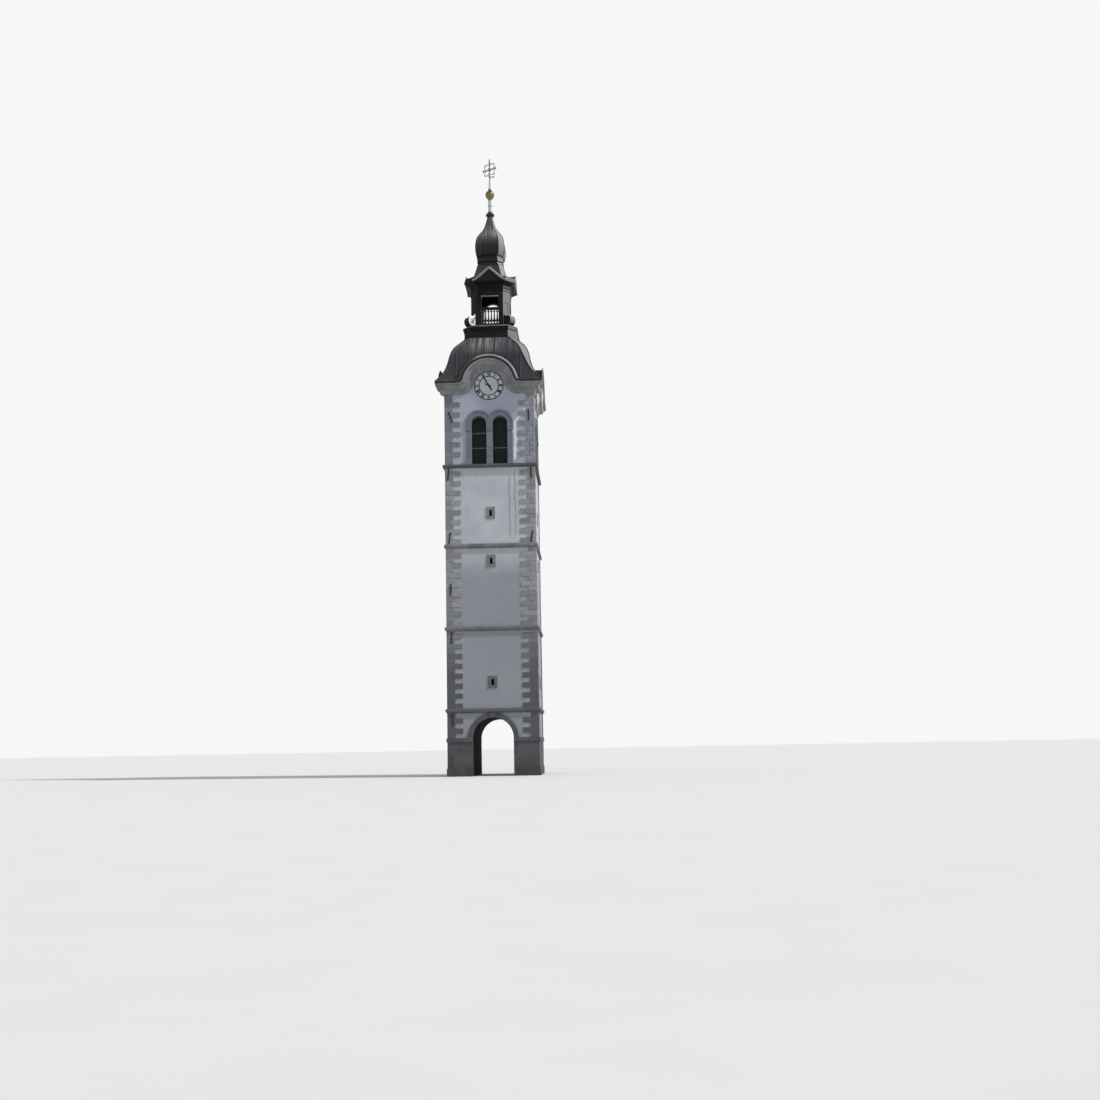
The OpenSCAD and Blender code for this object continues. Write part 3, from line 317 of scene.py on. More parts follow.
def makePlaster(name, front=False, specular=0.25):
    f = Finish(name)
    look = plasterLook
    mottled = f.noise(5.0, 6.0, 0.65)
    f.mix(f.ramp(f.noise(0.45, 5.0, 0.6), 0.36, 0.66), look["wash"], look["old"])
    f.layer(f.ramp(mottled, 0.45, 0.8, 0.0, 0.3), look["old"])
    # Painted shadow over the lower storeys, fading out near the third course with a ragged edge
    shaded = f.math("MULTIPLY_ADD", f.noise(0.9, 4.0), 1.6, f.less(f.z, 0.8))
    f.layer(f.ramp(shaded, tower["course3"] - 2.0, tower["course3"] + 0.4, 0.8, 0.0), look["grey"])
    # Painted shade: a bluish darker tint over the belfry storey
    f.layer(f.ramp(f.z, tower["sill"], tower["belfry"], 0.0, 0.85), look["lilacShade"])
    streaks = f.noise(2.2, 5.0, 0.7, (3.2, 3.2, 0.22))
    f.layer(f.ramp(streaks, 0.52, 0.74, 0.0, 0.22), look["streak"])
    # Darker for a short way under each course and the sill, broken up by the streaks
    ledges = (tower["course1"], tower["course2"], tower["course3"], tower["sill"])
    darkBelow = f.times(f.under(ledges, 0.7), f.ramp(streaks, 0.35, 0.65, 0.1, 0.6), 0.45)
    f.layer(darkBelow, look["streak"])
    f.layer(f.times(f.ramp(f.z, 0.2, 3.4, 0.8, 0.0), f.ramp(mottled, 0.3, 0.7, 0.3, 1.0)), look["splash"])
    # Thin plaster shows grey beside the corner stones, with brighter lime between them
    across = f.across()
    ragged = f.noise(3.0, 6.0, 0.7, None, 0.5)
    thin = f.times(f.ramp(across, 1.55, 1.85), f.ramp(ragged, 0.52, 0.62, 0.0, 0.10))
    bright = f.times(f.ramp(across, 1.68, 1.8), f.ramp(ragged, 0.40, 0.52, 0.16, 0.0))
    if front:
        patch, bare = loosePlaster(f, ragged)
        bright = f.math("MAXIMUM", bright, patch)
        thin = f.math("MAXIMUM", thin, bare)
    f.layer(thin, look["stoneDust"])
    f.layer(bright, look["patch"])
    grit = f.noise(60.0, 3.0, 0.6)
    trowel = f.noise(1.6, 5.0, 0.6, None, 0.4)
    height = f.math("MULTIPLY_ADD", mottled, 0.5, f.times(trowel, 2.0))
    height = f.less(f.math("MULTIPLY_ADD", grit, 0.25, height), f.times(thin, 0.8))
    if front:
        lines = crackLines(f)
        f.layer(lines, look["crack"])
        height = f.less(height, f.times(lines, 2.0))
    # Painted shade darkens the inside of the passage
    inside = f.times(f.ramp(f.absolute(f.y), tower["half"] - 0.04, tower["half"], 1.0, 0.0),
                     f.ramp(f.z, passage["top"], passage["top"] + 0.1, 1.0, 0.0),
                     f.ramp(f.absolute(f.x), passage["half"], passage["half"] + 0.06, 1.0, 0.0))
    f.layer(f.times(inside, f.ramp(mottled, 0.3, 0.7, 0.98, 0.9)), look["passageShade"])
    f.bump(height, 0.012)
    return f.done(f.ramp(mottled, 0.3, 0.8, 0.82, 0.96), specular=specular)


stoneLook = {"light": srgb(146, 147, 152), "mid": srgb(124, 125, 130), "dark": srgb(100, 101, 105),
             "lichen": srgb(86, 86, 84), "slateShade": srgb(97, 102, 118), "shadeAndSoot": srgb(80, 81, 86)}


def makeStone(name, shade=1.0, darkBelow=0.0, limed=False, low=0.65, belfryShade=0.0):
    f = Finish(name)
    look = {key: (*(c * shade for c in colour[:3]), 1.0) for key, colour in stoneLook.items()}
    cloud = f.noise(2.6, 6.0, 0.62)
    grain = f.noise(38.0, 5.0, 0.7)
    share = f.math("MULTIPLY_ADD", f.less(f.tone(), 0.5), 0.75, cloud)
    f.mix(f.ramp(share, 0.25, 0.75), look["mid"], look["light"])
    f.layer(f.ramp(f.noise(7.0, 6.0, 0.7, None, 0.5), 0.5, 0.72, 0.0, 0.75), look["dark"])
    f.layer(f.ramp(grain, 0.42, 0.75, 0.0, 0.4), look["dark"])
    f.layer(f.ramp(f.noise(3.0, 4.0, 0.65, (3.0, 3.0, 0.3)), 0.55, 0.78, 0.0, 0.5), look["lichen"])
    if darkBelow:
        damp = f.times(f.ramp(f.z, 0.0, 1.3, darkBelow, 0.0), f.ramp(cloud, 0.3, 0.6, 0.5, 1.0))
        f.layer(damp, look["lichen"])
    # Painted shadow darkens the lowest storeys
    f.layer(f.ramp(f.z, 5.5, 10.5, low, 0.0), look["shadeAndSoot"])
    aloft = f.ramp(f.z, tower["sill"], tower["belfry"] + 0.1)
    if belfryShade:  # painted shade: bluish darker stone around the belfry
        f.layer(f.times(aloft, belfryShade), stoneLook["slateShade"])
    if limed:  # whitewash left on the belfry's right corner
        ragged = f.ramp(f.noise(3.4, 6.0, 0.72, None, 0.5), 0.46, 0.56, 0.08, 0.38)
        reach = f.times(f.ramp(f.x, 1.3, 1.7), aloft, f.ramp(f.y, -2.2, -2.5), ragged)
        f.layer(reach, plasterLook["old"])
    pits = f.ramp(f.cells(26.0), 0.05, 0.32)
    f.bump(f.math("MULTIPLY_ADD", pits, 0.7, f.math("MULTIPLY_ADD", cloud, 1.8, grain)), 0.010, 0.8)
    return f.done(f.ramp(cloud, 0.3, 0.7, 0.80, 0.95), specular=0.3)


def makeMortar(name):
    f = Finish(name)
    sand = f.noise(24.0, 5.0, 0.7)
    f.mix(f.ramp(sand, 0.3, 0.7), srgb(92, 91, 90), srgb(120, 119, 117))
    f.bump(sand, 0.006, 0.8)
    return f.done(0.95, specular=0.2)


# The sheets get a painted highlight where they look towards the key lamp, chalk runs down from their top, and
# painted shade darkens their undersides and the onion's foot
sheetLook = {"pale": srgb(172, 174, 180), "chalk": srgb(164, 167, 166), "shadeAndSoot": srgb(16, 17, 18),
             "tie": srgb(132, 134, 138)}


def makeSheetMetal(name, light, dark, paintedSunShare, chalk=None, shadeAndSoot=None, brow=None, paintedLeeShade=0.0, paintedTopLight=0.0,
                   tie=None, specular=0.3):
    f = Finish(name)
    cloud = f.noise(1.1, 4.0, 0.55)
    speck = f.noise(14.0, 5.0, 0.7)
    f.mix(f.ramp(cloud, 0.35, 0.68), light, dark)
    if chalk:
        share, low, top, end = chalk
        wide = f.ramp(f.fall(4.2, 3.0, 0.6, 0.06), 0.44, 0.60, 0.2, 1.0)
        narrow = f.ramp(f.fall(17.0, 5.0, 0.7, 0.05), 0.38, 0.62, 0.3, 1.0)
        reach = f.times(f.ramp(f.z, low, top, 0.04, 1.0), f.ramp(f.z, top, end, 1.0, 0.4),
                        f.ramp(f.across(), 0.8, 1.6, 1.0, 0.3))
        f.layer(f.times(wide, narrow, reach, share), sheetLook["chalk"])
    # Darker towards the foot: painted shade under the onion's belly; the bell roof darkens towards its eaves
    if shadeAndSoot:
        share, low, top = shadeAndSoot
        patchy = f.math("MULTIPLY_ADD", f.less(cloud, 0.5), 0.8, f.z)
        f.layer(f.ramp(patchy, low, top, share, 0.0), sheetLook["shadeAndSoot"])
    if brow:  # painted shadow in a ring on the roof around each clock's eyebrow
        share, near, far = brow
        across, rise = f.across(), f.less(f.z, tower["clock"])
        away = f.math("SQRT", f.math("ADD", f.times(across, across), f.times(rise, rise)))
        f.layer(f.ramp(away, near, far, share, 0.0), sheetLook["shadeAndSoot"])
    # Painted shade on the faces that look down
    f.layer(f.ramp(f.facing((0, 0, -1)), 0.1, 0.6, 0.0, 0.7), sheetLook["shadeAndSoot"])
    f.layer(f.ramp(speck, 0.5, 0.75, 0.0, 0.25), dark)
    # Painted highlight on the faces that look up
    if paintedTopLight:
        f.layer(f.ramp(f.facing((0, 0, 1)), 0.2, 0.8, 0.0, paintedTopLight), sheetLook["pale"])
    # Painted highlight on the faces that look towards the key lamp
    paintedSun = f.times(f.ramp(f.facing(paintedSunWay), 0.35, 0.85), f.ramp(speck, 0.3, 0.7, paintedSunShare, paintedSunShare * 0.7))
    f.layer(paintedSun, sheetLook["pale"])
    if paintedLeeShade:  # painted shade on the left, and on the side eyebrows' faces that look to the front
        near = f.times(f.turned(), f.ramp(f.facing((0, -1, 0)), 0.1, 0.5, 0.0, paintedLeeShade))
        f.layer(f.math("MAXIMUM", near, f.ramp(f.x, -1.15, -0.5, paintedLeeShade, 0.0)), sheetLook["shadeAndSoot"])
    if tie:  # a tie bar in each opening, between two heights
        bar = f.times(f.math("GREATER_THAN", f.z, tie["foot"]), f.math("LESS_THAN", f.z, tie["top"]),
                      f.math("LESS_THAN", f.across(), tie["half"]))
        f.layer(bar, sheetLook["tie"])
    dents = f.noise(2.2, 3.0, 0.5, None, 0.3)
    f.bump(f.math("MULTIPLY_ADD", dents, 2.0, f.times(speck, 0.25)), 0.010)
    return f.done(f.ramp(cloud, 0.3, 0.7, 0.5, 0.62), metallic=0.1, specular=specular)


def makePaint(name, clean, worn, rough, metallic=0.0, scale=18.0, specular=0.5):
    f = Finish(name)
    wear = f.noise(scale, 6.0, 0.7)
    streak = f.noise(scale * 0.4, 4.0, 0.6, (2.0, 2.0, 0.25))
    f.mix(f.ramp(wear, 0.48, 0.72), clean, worn)
    f.layer(f.ramp(streak, 0.55, 0.8, 0.0, 0.6), worn)
    f.bump(wear, 0.002)
    return f.done(f.ramp(wear, 0.3, 0.7, rough, rough + 0.2), metallic=metallic, specular=specular)


# Two paints on one turned or forged piece, which change at a height
def makeTwoPaints(name, lower, upper, height, rough=0.4):
    f = Finish(name)
    wear = f.noise(16.0, 6.0, 0.7)
    f.mix(f.ramp(f.z, height - 0.01, height + 0.01), lower, upper)
    f.layer(f.ramp(wear, 0.5, 0.75, 0.0, 0.5), srgb(98, 98, 98))
    f.bump(wear, 0.002)
    return f.done(f.ramp(wear, 0.3, 0.7, rough, rough + 0.2), specular=0.4)


# The ball has tarnished from its cap down, in patches
def makeGilding(name, bright, tarnished):
    f = Finish(name)
    low, high = footOf("gilt_ball"), topOf("gilt_ball")
    patches = f.noise(4.5, 5.0, 0.65, None, 0.4)
    wear = f.noise(22.0, 5.0, 0.7)
    level = f.math("MULTIPLY_ADD", f.less(patches, 0.5), 0.5, f.z)
    f.mix(f.ramp(level, low + 0.25, high - 0.2, 0.15, 0.9), bright, tarnished)
    f.layer(f.ramp(wear, 0.5, 0.7, 0.0, 0.5), tarnished)
    f.bump(wear, 0.003)
    return f.done(f.ramp(patches, 0.3, 0.7, 0.38, 0.55), metallic=0.35, specular=0.4)


def makeTimber(name, light, dark):
    f = Finish(name)
    grain = f.noise(6.0, 6.0, 0.7, (9.0, 9.0, 0.7), 0.3)
    f.mix(f.ramp(grain, 0.35, 0.7), light, dark)
    f.layer(f.ramp(f.tone(), 0.0, 1.0, 0.0, 0.5), light)
    f.bump(grain, 0.004, 0.8)
    return f.done(0.85, specular=0.2)


plaster = makePlaster("limePlaster")
frontPlaster = makePlaster("frontLimePlaster", front=True)
passagePlaster = makePlaster("passagePlaster", specular=0.03)
cornicePlaster = makeCornicePlaster("cornicePlaster")
quoinStone = makeStone("quoinStone", limed=True, low=0.95, belfryShade=0.6)
courseStone = makeStone("courseStone", 0.64)
sillStone = makeStone("sillStone", 0.38)
# The plinth and dado stone is made darker, partly as painted shade over the foot of the tower
baseStone = makeStone("baseStone", 0.36, darkBelow=0.6, low=0.2)
archStone = makeStone("archStone", 0.58)
surroundStone = makeStone("surroundStone", 0.80, belfryShade=0.65)
mortar = makeMortar("mortar")
bellSheet = makeSheetMetal("bellSheetMetal", srgb(43, 46, 52), srgb(32, 35, 40), 0.42,
                           chalk=(0.55, *(tower["bellTop"] + up for up in (-1.6, -0.5, 2.0))),
                           shadeAndSoot=(0.35, tower["eaves"] + 0.2, tower["eaves"] + 1.9), brow=(0.8, 2.0, 2.3))
# The lantern's metal, also on the upper cornice and gablets, is near-black: painted shade over a mid-grey
# metal
lanternSheet = makeSheetMetal("lanternSheetMetal", srgb(22, 24, 25), srgb(16, 17, 18), 0.46, specular=0.12)
tieBar = {"foot": tower["deck"] + 1.975, "top": tower["deck"] + 2.035, "half": 0.544}
archSheet = makeSheetMetal("lanternArchMetal", srgb(22, 24, 25), srgb(16, 17, 18), 0.46, specular=0.12,
                           tie=tieBar)
deckSheet = makeSheetMetal("deckSheetMetal", srgb(118, 118, 120), srgb(84, 85, 87), 0.5, specular=0.2)
upperSheet = makeSheetMetal("upperSheetMetal", srgb(46, 48, 52), srgb(36, 38, 41), 0.55, specular=0.2)
# The neck's near-black colour is painted shade
neckSheet = makeSheetMetal("neckSheetMetal", srgb(28, 30, 32), srgb(20, 22, 23), 0.6, specular=0.2)
onionSheet = makeSheetMetal("onionSheetMetal", srgb(61, 64, 69), srgb(47, 50, 54), 0.5,
                            chalk=(0.95, *(tower["collar"] + up for up in (-2.0, -1.35, -0.4))),
                            shadeAndSoot=(0.95, tower["onion"] + 0.45, tower["onion"] + 1.2), specular=0.22)
seamSheet = makeSheetMetal("seamMetal", srgb(24, 25, 28), srgb(17, 18, 20), 0.2, specular=0.12)
# The edge metals are pale, a painted highlight of the sunlit verges and gablet edges
edgeSheet = makeSheetMetal("edgeMetal", srgb(120, 123, 127), srgb(94, 97, 101), 0.8, paintedTopLight=0.5)
browSheet = makeSheetMetal("browEdgeMetal", srgb(128, 130, 134), srgb(104, 107, 111), 0.9,
                           paintedLeeShade=0.85, paintedTopLight=0.8)
iron = makePaint("wroughtIron", srgb(30, 31, 33), srgb(54, 50, 47), 0.55, 0.3, 30.0)
crossPaint = makeTwoPaints("crossPaint", srgb(172, 170, 172), srgb(128, 132, 142),
                           tower["spindle"] + 0.36, 0.5)
postPaint = makeTwoPaints("postPaint", srgb(24, 26, 28), srgb(168, 174, 181), tower["collar"] + 0.30)
creamPaint = makePaint("creamPaint", srgb(244, 243, 234), srgb(206, 204, 192), 0.4)
gilding = makeGilding("wornGilding", srgb(136, 122, 80), srgb(48, 43, 32))
blackPaint = makePaint("blackPaint", srgb(28, 28, 31), srgb(44, 44, 47), 0.6, specular=0.3)
dialWash = makePaint("dialWash", srgb(176, 179, 186), srgb(162, 165, 171), 0.8, 0.0, 6.0, 0.25)
timber = makeTimber("darkBoards", srgb(38, 41, 43), srgb(22, 24, 26))
ledgeTimber = makeTimber("ledgeTimber", srgb(104, 104, 102), srgb(78, 78, 77))
print("materials made")


coatOf = {
    "shaft_wall_front": frontPlaster, "belfry_wall_front": frontPlaster, "main_cornice": cornicePlaster,
    "passage_wall_left": passagePlaster, "passage_wall_right": passagePlaster,
    "passage_vault": passagePlaster, "belfry_shutters": timber, "shutter_ledges": ledgeTimber,
    # The eyebrow roofs take the near-black seam metal, which paints in the shade over them
    "belfry_floor": timber, "bell_roof": bellSheet, "eyebrow_roofs": seamSheet, "lantern_floor": deckSheet,
    "upper_gablets": lanternSheet, "upper_cornice": lanternSheet, "upper_roof": upperSheet,
    "onion_neck": neckSheet, "lantern_arches": archSheet, "onion_dome": onionSheet, "wall_anchors": iron,
    "clock_dials": dialWash, "finial_post": postPaint, "gilt_ball": gilding, "finial_cross": crossPaint,
    "volute_scrolls": creamPaint,
}
for name in ("plinth", "dado", "impost_band", "arch_rings", "string_courses", "belfry_sill_course",
             "quoins", "slot_window_frames", "belfry_surrounds"):
    coatOf[name] = mortar
for name, node in nodes.items():
    usual = lanternSheet if name.startswith("lantern") else plaster
    usual = blackPaint if name.startswith(("minute", "hour")) else usual
    node.data.materials.clear()
    node.data.materials.append(coatOf.get(name, usual))

placeCamera()
placeLights()
floorMesh = bpy.data.meshes.new("floor")
floorMesh.from_pydata([(-700, -700, 0), (700, -700, 0), (700, 700, 0), (-700, 700, 0)], [], [(0, 1, 2, 3)])
floor = placed("floor", floorMesh)
floorFinish = Finish("paleFloor")
floorFinish.mix(floorFinish.noise(0.6, 4.0), (0.60, 0.60, 0.59, 1), (0.64, 0.64, 0.63, 1))
floorMesh.materials.append(floorFinish.done(0.9, specular=0.1))
print("camera, lights and floor placed")


# Dressed stones stand a little proud of the mortar behind them, and those of the frames less so
joint = {"gap": 0.012, "proud": 0.010, "bevel": 0.007, "fine": 0.006}


# A copy of a node, merged and made to stand proud, to be cut into its stones
def nodeMesh(name, proud=joint["proud"]):
    bm = bmesh.new()
    bm.from_mesh(nodes[name].data)
    bmesh.ops.remove_doubles(bm, verts=bm.verts, dist=2e-5)
    bmesh.ops.dissolve_limit(bm, angle_limit=math.radians(0.6), verts=bm.verts, edges=bm.edges)
    bm.normal_update()
    grow(bm, proud)
    return bm


def keepInBox(verts):
    low, high = Vector(cadBox[0]), Vector(cadBox[1])
    for v in verts:
        v.co = Vector(max(low[i], min(high[i], v.co[i])) for i in range(3))


# Groups of faces that share edges, or with the other names of edges that share corners
def islands(parts, ends="edges", beyond="link_faces"):
    left = dict.fromkeys(parts)
    groups = []
    while left:
        stack = [left.popitem()[0]]
        group = []
        while stack:
            part = stack.pop()
            group.append(part)
            for end in getattr(part, ends):
                for other in getattr(end, beyond):
                    if other in left:
                        del left[other]
                        stack.append(other)
        groups.append(group)
    return groups


def wholeOf(faces):
    verts = dict.fromkeys(v for f in faces for v in f.verts)
    edges = dict.fromkeys(e for f in faces for e in f.edges)
    return [*verts, *edges, *faces]


def boxOf(faces):
    spots = [v.co for f in faces for v in f.verts]
    return [min(p[i] for p in spots) for i in range(3)], [max(p[i] for p in spots) for i in range(3)]


# The level axis along which a piece is wider
def wideAxis(low, high):
    return 0 if high[0] - low[0] > high[1] - low[1] else 1


# A place or a direction with one level coordinate
def onAxis(axis, value, z=0):
    spot = [0, 0, z]
    spot[axis] = value
    return spot


# Splits one stone at a plane, with a joint between the two
def cutJoint(bm, faces, point, normal, gap=joint["gap"]):
    n, p = Vector(normal).normalized(), Vector(point)
    away = {(v.co - p).dot(n) for f in faces for v in f.verts}
    if min(away) > -gap or max(away) < gap:
        return [faces]
    for shift in (0, 0.0015, -0.0015, 0.003, -0.003):  # clear of the flat faces that lie near the cut
        if all(abs(abs(d - shift) - gap / 2) > 0.0005 for d in away):
            break
    p += n * shift
    geom = wholeOf(faces)
    copied = bmesh.ops.duplicate(bm, geom=geom)["geom"]
    stones = []
    for part, sign in ((geom, 1), (copied, -1)):
        cut = bmesh.ops.bisect_plane(bm, geom=part, dist=1e-6, plane_co=p - n * sign * gap / 2,
                                     plane_no=n * sign, clear_outer=True)
        kept = [g for g in cut["geom"] if isinstance(g, bmesh.types.BMFace) and g.is_valid]
        edges = [e for e in cut["geom_cut"] if isinstance(e, bmesh.types.BMEdge)]
        for loop in islands(edges, "verts", "link_edges"):
            filled = bmesh.ops.triangle_fill(bm, use_beauty=True, edges=loop)["geom"]
            kept += [g for g in filled if isinstance(g, bmesh.types.BMFace)]
        stones += islands(kept)
    return stones


def cutAll(bm, stones, planes, gap=joint["gap"]):
    for point, normal in planes:
        stones = [s for stone in stones for s in cutJoint(bm, stone, point, normal, gap)]
    return stones


# The plain mesh that an object's modifiers make, without the object
def plainMesh(base):
    result = bpy.data.meshes.new_from_object(base.evaluated_get(bpy.context.evaluated_depsgraph_get()))
    base.modifiers.clear()
    bpy.data.objects.remove(base)
    return result


def finishStones(name, bm, material, seed, bevel=joint["bevel"]):
    bmesh.ops.recalc_face_normals(bm, faces=bm.faces)
    bmesh.ops.dissolve_limit(bm, angle_limit=math.radians(0.6), verts=bm.verts, edges=bm.edges)
    mesh = bpy.data.meshes.new(name)
    bm.to_mesh(mesh)
    bm.free()
    base = placed(name + "Base", mesh)
    worn = base.modifiers.new("wornEdges", "BEVEL")
    worn.width, worn.segments, worn.limit_method, worn.angle_limit = bevel, 1, "ANGLE", math.radians(40)
    plain = plainMesh(base)
    bm = bmesh.new()
    bm.from_mesh(plain)
    layer = bm.faces.layers.float.new("tone")
    chance = random.Random(seed)
    for stone in sorted(islands(bm.faces), key=lambda s: tuple(round(c, 3) for c in boxOf(s)[0])):
        shade = chance.random()
        for face in stone:
            face[layer] = shade
    bm.to_mesh(plain)
    bm.free()
    keepInBox(plain.vertices)
    plain.materials.clear()
    plain.materials.append(material)
    obj = placed(name, plain)
    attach(obj, "tower")


# Moves each corner out so that every face around it stands proud by the same amount
def grow(bm, proud):
    moved = {}
    for v in bm.verts:
        normals = []
        for face in v.link_faces:
            if face.calc_area() > 1e-7 and all(face.normal.dot(n) < 0.999 for n in normals):
                normals.append(face.normal.copy())
        pull = Matrix.Identity(3) * 1e-3
        total = Vector()
        for n in normals:
            pull += Matrix([[n[i] * n[j] for j in range(3)] for i in range(3)])
            total += n
        step = pull.inverted() @ total * proud
        if step.length > 2 * proud:
            step.length = 2 * proud
        moved[v] = v.co + step
    for v, place in moved.items():
        v.co = place


def levelsOf(stone):
    least = 0.06
    found = sorted({round(v.co.z, 3) for f in stone for v in f.verts})
    return [z for z in found if found[0] + least < z < found[-1] - least]


def levelPlanes(levels):
    return [((0, 0, z), (0, 0, 1)) for z in levels]


def crossPlanes(spots, axes=(0, 1)):
    return [(onAxis(axis, s), onAxis(axis, 1)) for axis in axes for s in spots]


def dressQuoins():
    bm = nodeMesh("quoins")
    shortBlock, longLeast, rowLeast = 0.34, 0.6, 0.05  # only long blocks have an upright joint
    for strip in islands(bm.faces):
        low, high = boxOf(strip)
        corner = [low[i] if abs(low[i]) > abs(high[i]) else high[i] for i in (0, 1)]
        teeth = levelsOf(strip)
        merged = [z for i, z in enumerate(teeth) if i == 0 or z - teeth[i - 1] > rowLeast]
        stones = cutAll(bm, [strip], levelPlanes(merged))
        stones.sort(key=lambda s: boxOf(s)[0][2])
        for row, stone in enumerate(stones):
            a, b = boxOf(stone)
            if max(b[0] - a[0], b[1] - a[1]) < longLeast:
                continue
            axis = (row // 2) % 2
            point = onAxis(axis, corner[axis] - math.copysign(shortBlock, corner[axis]))
            cutJoint(bm, stone, point, onAxis(axis, 1))
    finishStones("quoinStones", bm, quoinStone, 11)


# A band of stones, cut at places across each side that shift from one row to the next
def dressBand(name, node, material, spots, seed, levels=()):
    bm = nodeMesh(node)
    rows = [s for band in islands(bm.faces) for s in cutAll(bm, [band], levelPlanes(levels))]
    for stone in rows:
        z = boxOf(stone)[0][2]
        shift = 0.0 if int(round(z * 7)) % 2 else 0.42
        cutAll(bm, [stone], crossPlanes([s + shift for s in spots]))
    finishStones(name, bm, material, seed)


def dressArchRings():
    bm = nodeMesh("arch_rings")
    key, count = 5.4, 7
    turns = [math.radians(90 + s * (key + (90 - key) * i / count)) for s in (-1, 1) for i in range(count)]
    planes = [((0, 0, tower["spring"]), (-math.sin(t), 0, math.cos(t))) for t in turns]
    for ring in islands(bm.faces):
        cutAll(bm, [ring], planes)
    finishStones("voussoirs", bm, archStone, 5)


belfry = {"openingX": 0.64, "springing": 21.32, "joints": (19.23, 19.85, 20.4, 20.825, 21.03), "wedges": 9}


def dressSurrounds():
    bm = nodeMesh("belfry_surrounds", joint["fine"])
    springing, wedges = belfry["springing"], belfry["wedges"]
    for surround in islands(bm.faces):
        planes = levelPlanes((*belfry["joints"], springing + 0.01))
        for stone in cutAll(bm, [surround], planes):
            low, high = boxOf(stone)
            if low[2] < springing - 0.05:
                continue
            across = wideAxis(low, high)
            for arch in cutJoint(bm, stone, (0, 0, 0), onAxis(across, 1)):
                a, c = boxOf(arch)
                centre = onAxis(across, math.copysign(belfry["openingX"], a[across] + c[across]), springing)
                turns = [math.pi * i / wedges for i in range(1, wedges)]
                planes = [(centre, onAxis(across, -math.sin(t), math.cos(t))) for t in turns]
                cutAll(bm, [arch], planes)
    finishStones("surroundStones", bm, surroundStone, 8, joint["fine"])


def dressSlotFrames():
    bm = nodeMesh("slot_window_frames", joint["fine"])
    for border in islands(bm.faces):
        cutAll(bm, [border], levelPlanes(levelsOf(border)))
    finishStones("slotFrameStones", bm, surroundStone, 9, joint["fine"])


shutter = {"board": 0.1155, "gap": 0.008, "bevel": 0.004, "nailY": -2.42, "nailRise": 0.016,
           "lowLedge": 0.965, "highLedge": 1.895}


def makeBoards():
    bm = nodeMesh("belfry_shutters")
    spots = [belfry["openingX"] * s + shutter["board"] * (i - 3) for s in (-1, 1) for i in range(-1, 8)]
    for leaf in islands(bm.faces):
        cutAll(bm, [leaf], crossPlanes(spots, [wideAxis(*boxOf(leaf))]), shutter["gap"])
    finishStones("shutterBoards", bm, timber, 21, shutter["bevel"])


dressQuoins()
dressBand("plinthBlocks", "plinth", baseStone, [-2.1, -1.35, -0.6, 0.15, 0.9, 1.65], seed=2)
dressBand("dadoSlabs", "dado", baseStone, [-2.35, -1.1, 0.15, 1.4], levels=(1.22,), seed=3)
dressBand("impostStones", "impost_band", archStone, [-2.2, -1.15, -0.1, 0.95, 2.0], seed=4)
dressBand("courseStones", "string_courses", courseStone, [-2.3, -1.35, -0.4, 0.55, 1.5], seed=6)
dressBand("sillStones", "belfry_sill_course", sillStone, [-1.9, -0.75, 0.4, 1.55], seed=7)
dressArchRings()
dressSurrounds()
dressSlotFrames()
makeBoards()
print("stones and boards cut")


# Geometry nodes sweep the seams along paths and set studs on points, in a metal
def newTree(name, numbers):
    tree = bpy.data.node_groups.new(name, "GeometryNodeTree")

    def socket(label, kind, way="INPUT"):
        return tree.interface.new_socket(label, in_out=way, socket_type="NodeSocket" + kind)

    socket("Geometry", "Geometry")
    for label, value in numbers.items():
        socket(label, "Int" if isinstance(value, int) else "Float").default_value = value
    socket("Metal", "Material")
    socket("Geometry", "Geometry", "OUTPUT")
    return tree, tree.nodes.new("NodeGroupInput").outputs


# Adds a geometry node and gives its outputs
def geoNode(tree, kind, inputs, **settings):
    return addNode(tree, "GeometryNode" + kind, inputs, **settings).outputs


def endTree(tree, start, shapes):
    real = geoNode(tree, "RealizeInstances", {"Geometry": shapes})["Geometry"]
    coated = geoNode(tree, "SetMaterial", {"Geometry": real, "Material": start["Metal"]})
    addNode(tree, "NodeGroupOutput", {"Geometry": coated["Geometry"]})
    return tree


def seamTree():
    tree, start = newTree("sheetSeams", {"Width": 0.05, "Height": 0.05, "Sides": 8})
    curve = geoNode(tree, "MeshToCurve", {"Mesh": start["Geometry"]})["Curve"]
    upright = geoNode(tree, "SetCurveNormal", {"Curve": curve}, mode="Z_UP")["Curve"]
    circle = {"Resolution": start["Sides"], "Radius": 0.5}
    ring = geoNode(tree, "CurvePrimitiveCircle", circle)["Curve"]
    size = addNode(tree, "ShaderNodeCombineXYZ", {"X": start["Width"], "Y": start["Height"], "Z": 1.0})
    shape = geoNode(tree, "Transform", {"Geometry": ring, "Scale": size.outputs[0]})["Geometry"]
    sweeping = {"Curve": upright, "Profile Curve": shape, "Fill Caps": True}
    return endTree(tree, start, geoNode(tree, "CurveToMesh", sweeping)["Mesh"])


def studTree():
    tree, start = newTree("studs", {"Radius": 0.02})
    ball = geoNode(tree, "MeshIcoSphere", {"Subdivisions": 2, "Radius": start["Radius"]})["Mesh"]
    chance = addNode(tree, "FunctionNodeRandomValue", {2: 0.85, 3: 1.1, "Seed": 3}).outputs[1]
    putting = {"Points": start["Geometry"], "Instance": ball, "Scale": chance}
    return endTree(tree, start, geoNode(tree, "InstanceOnPoints", putting)["Instances"])


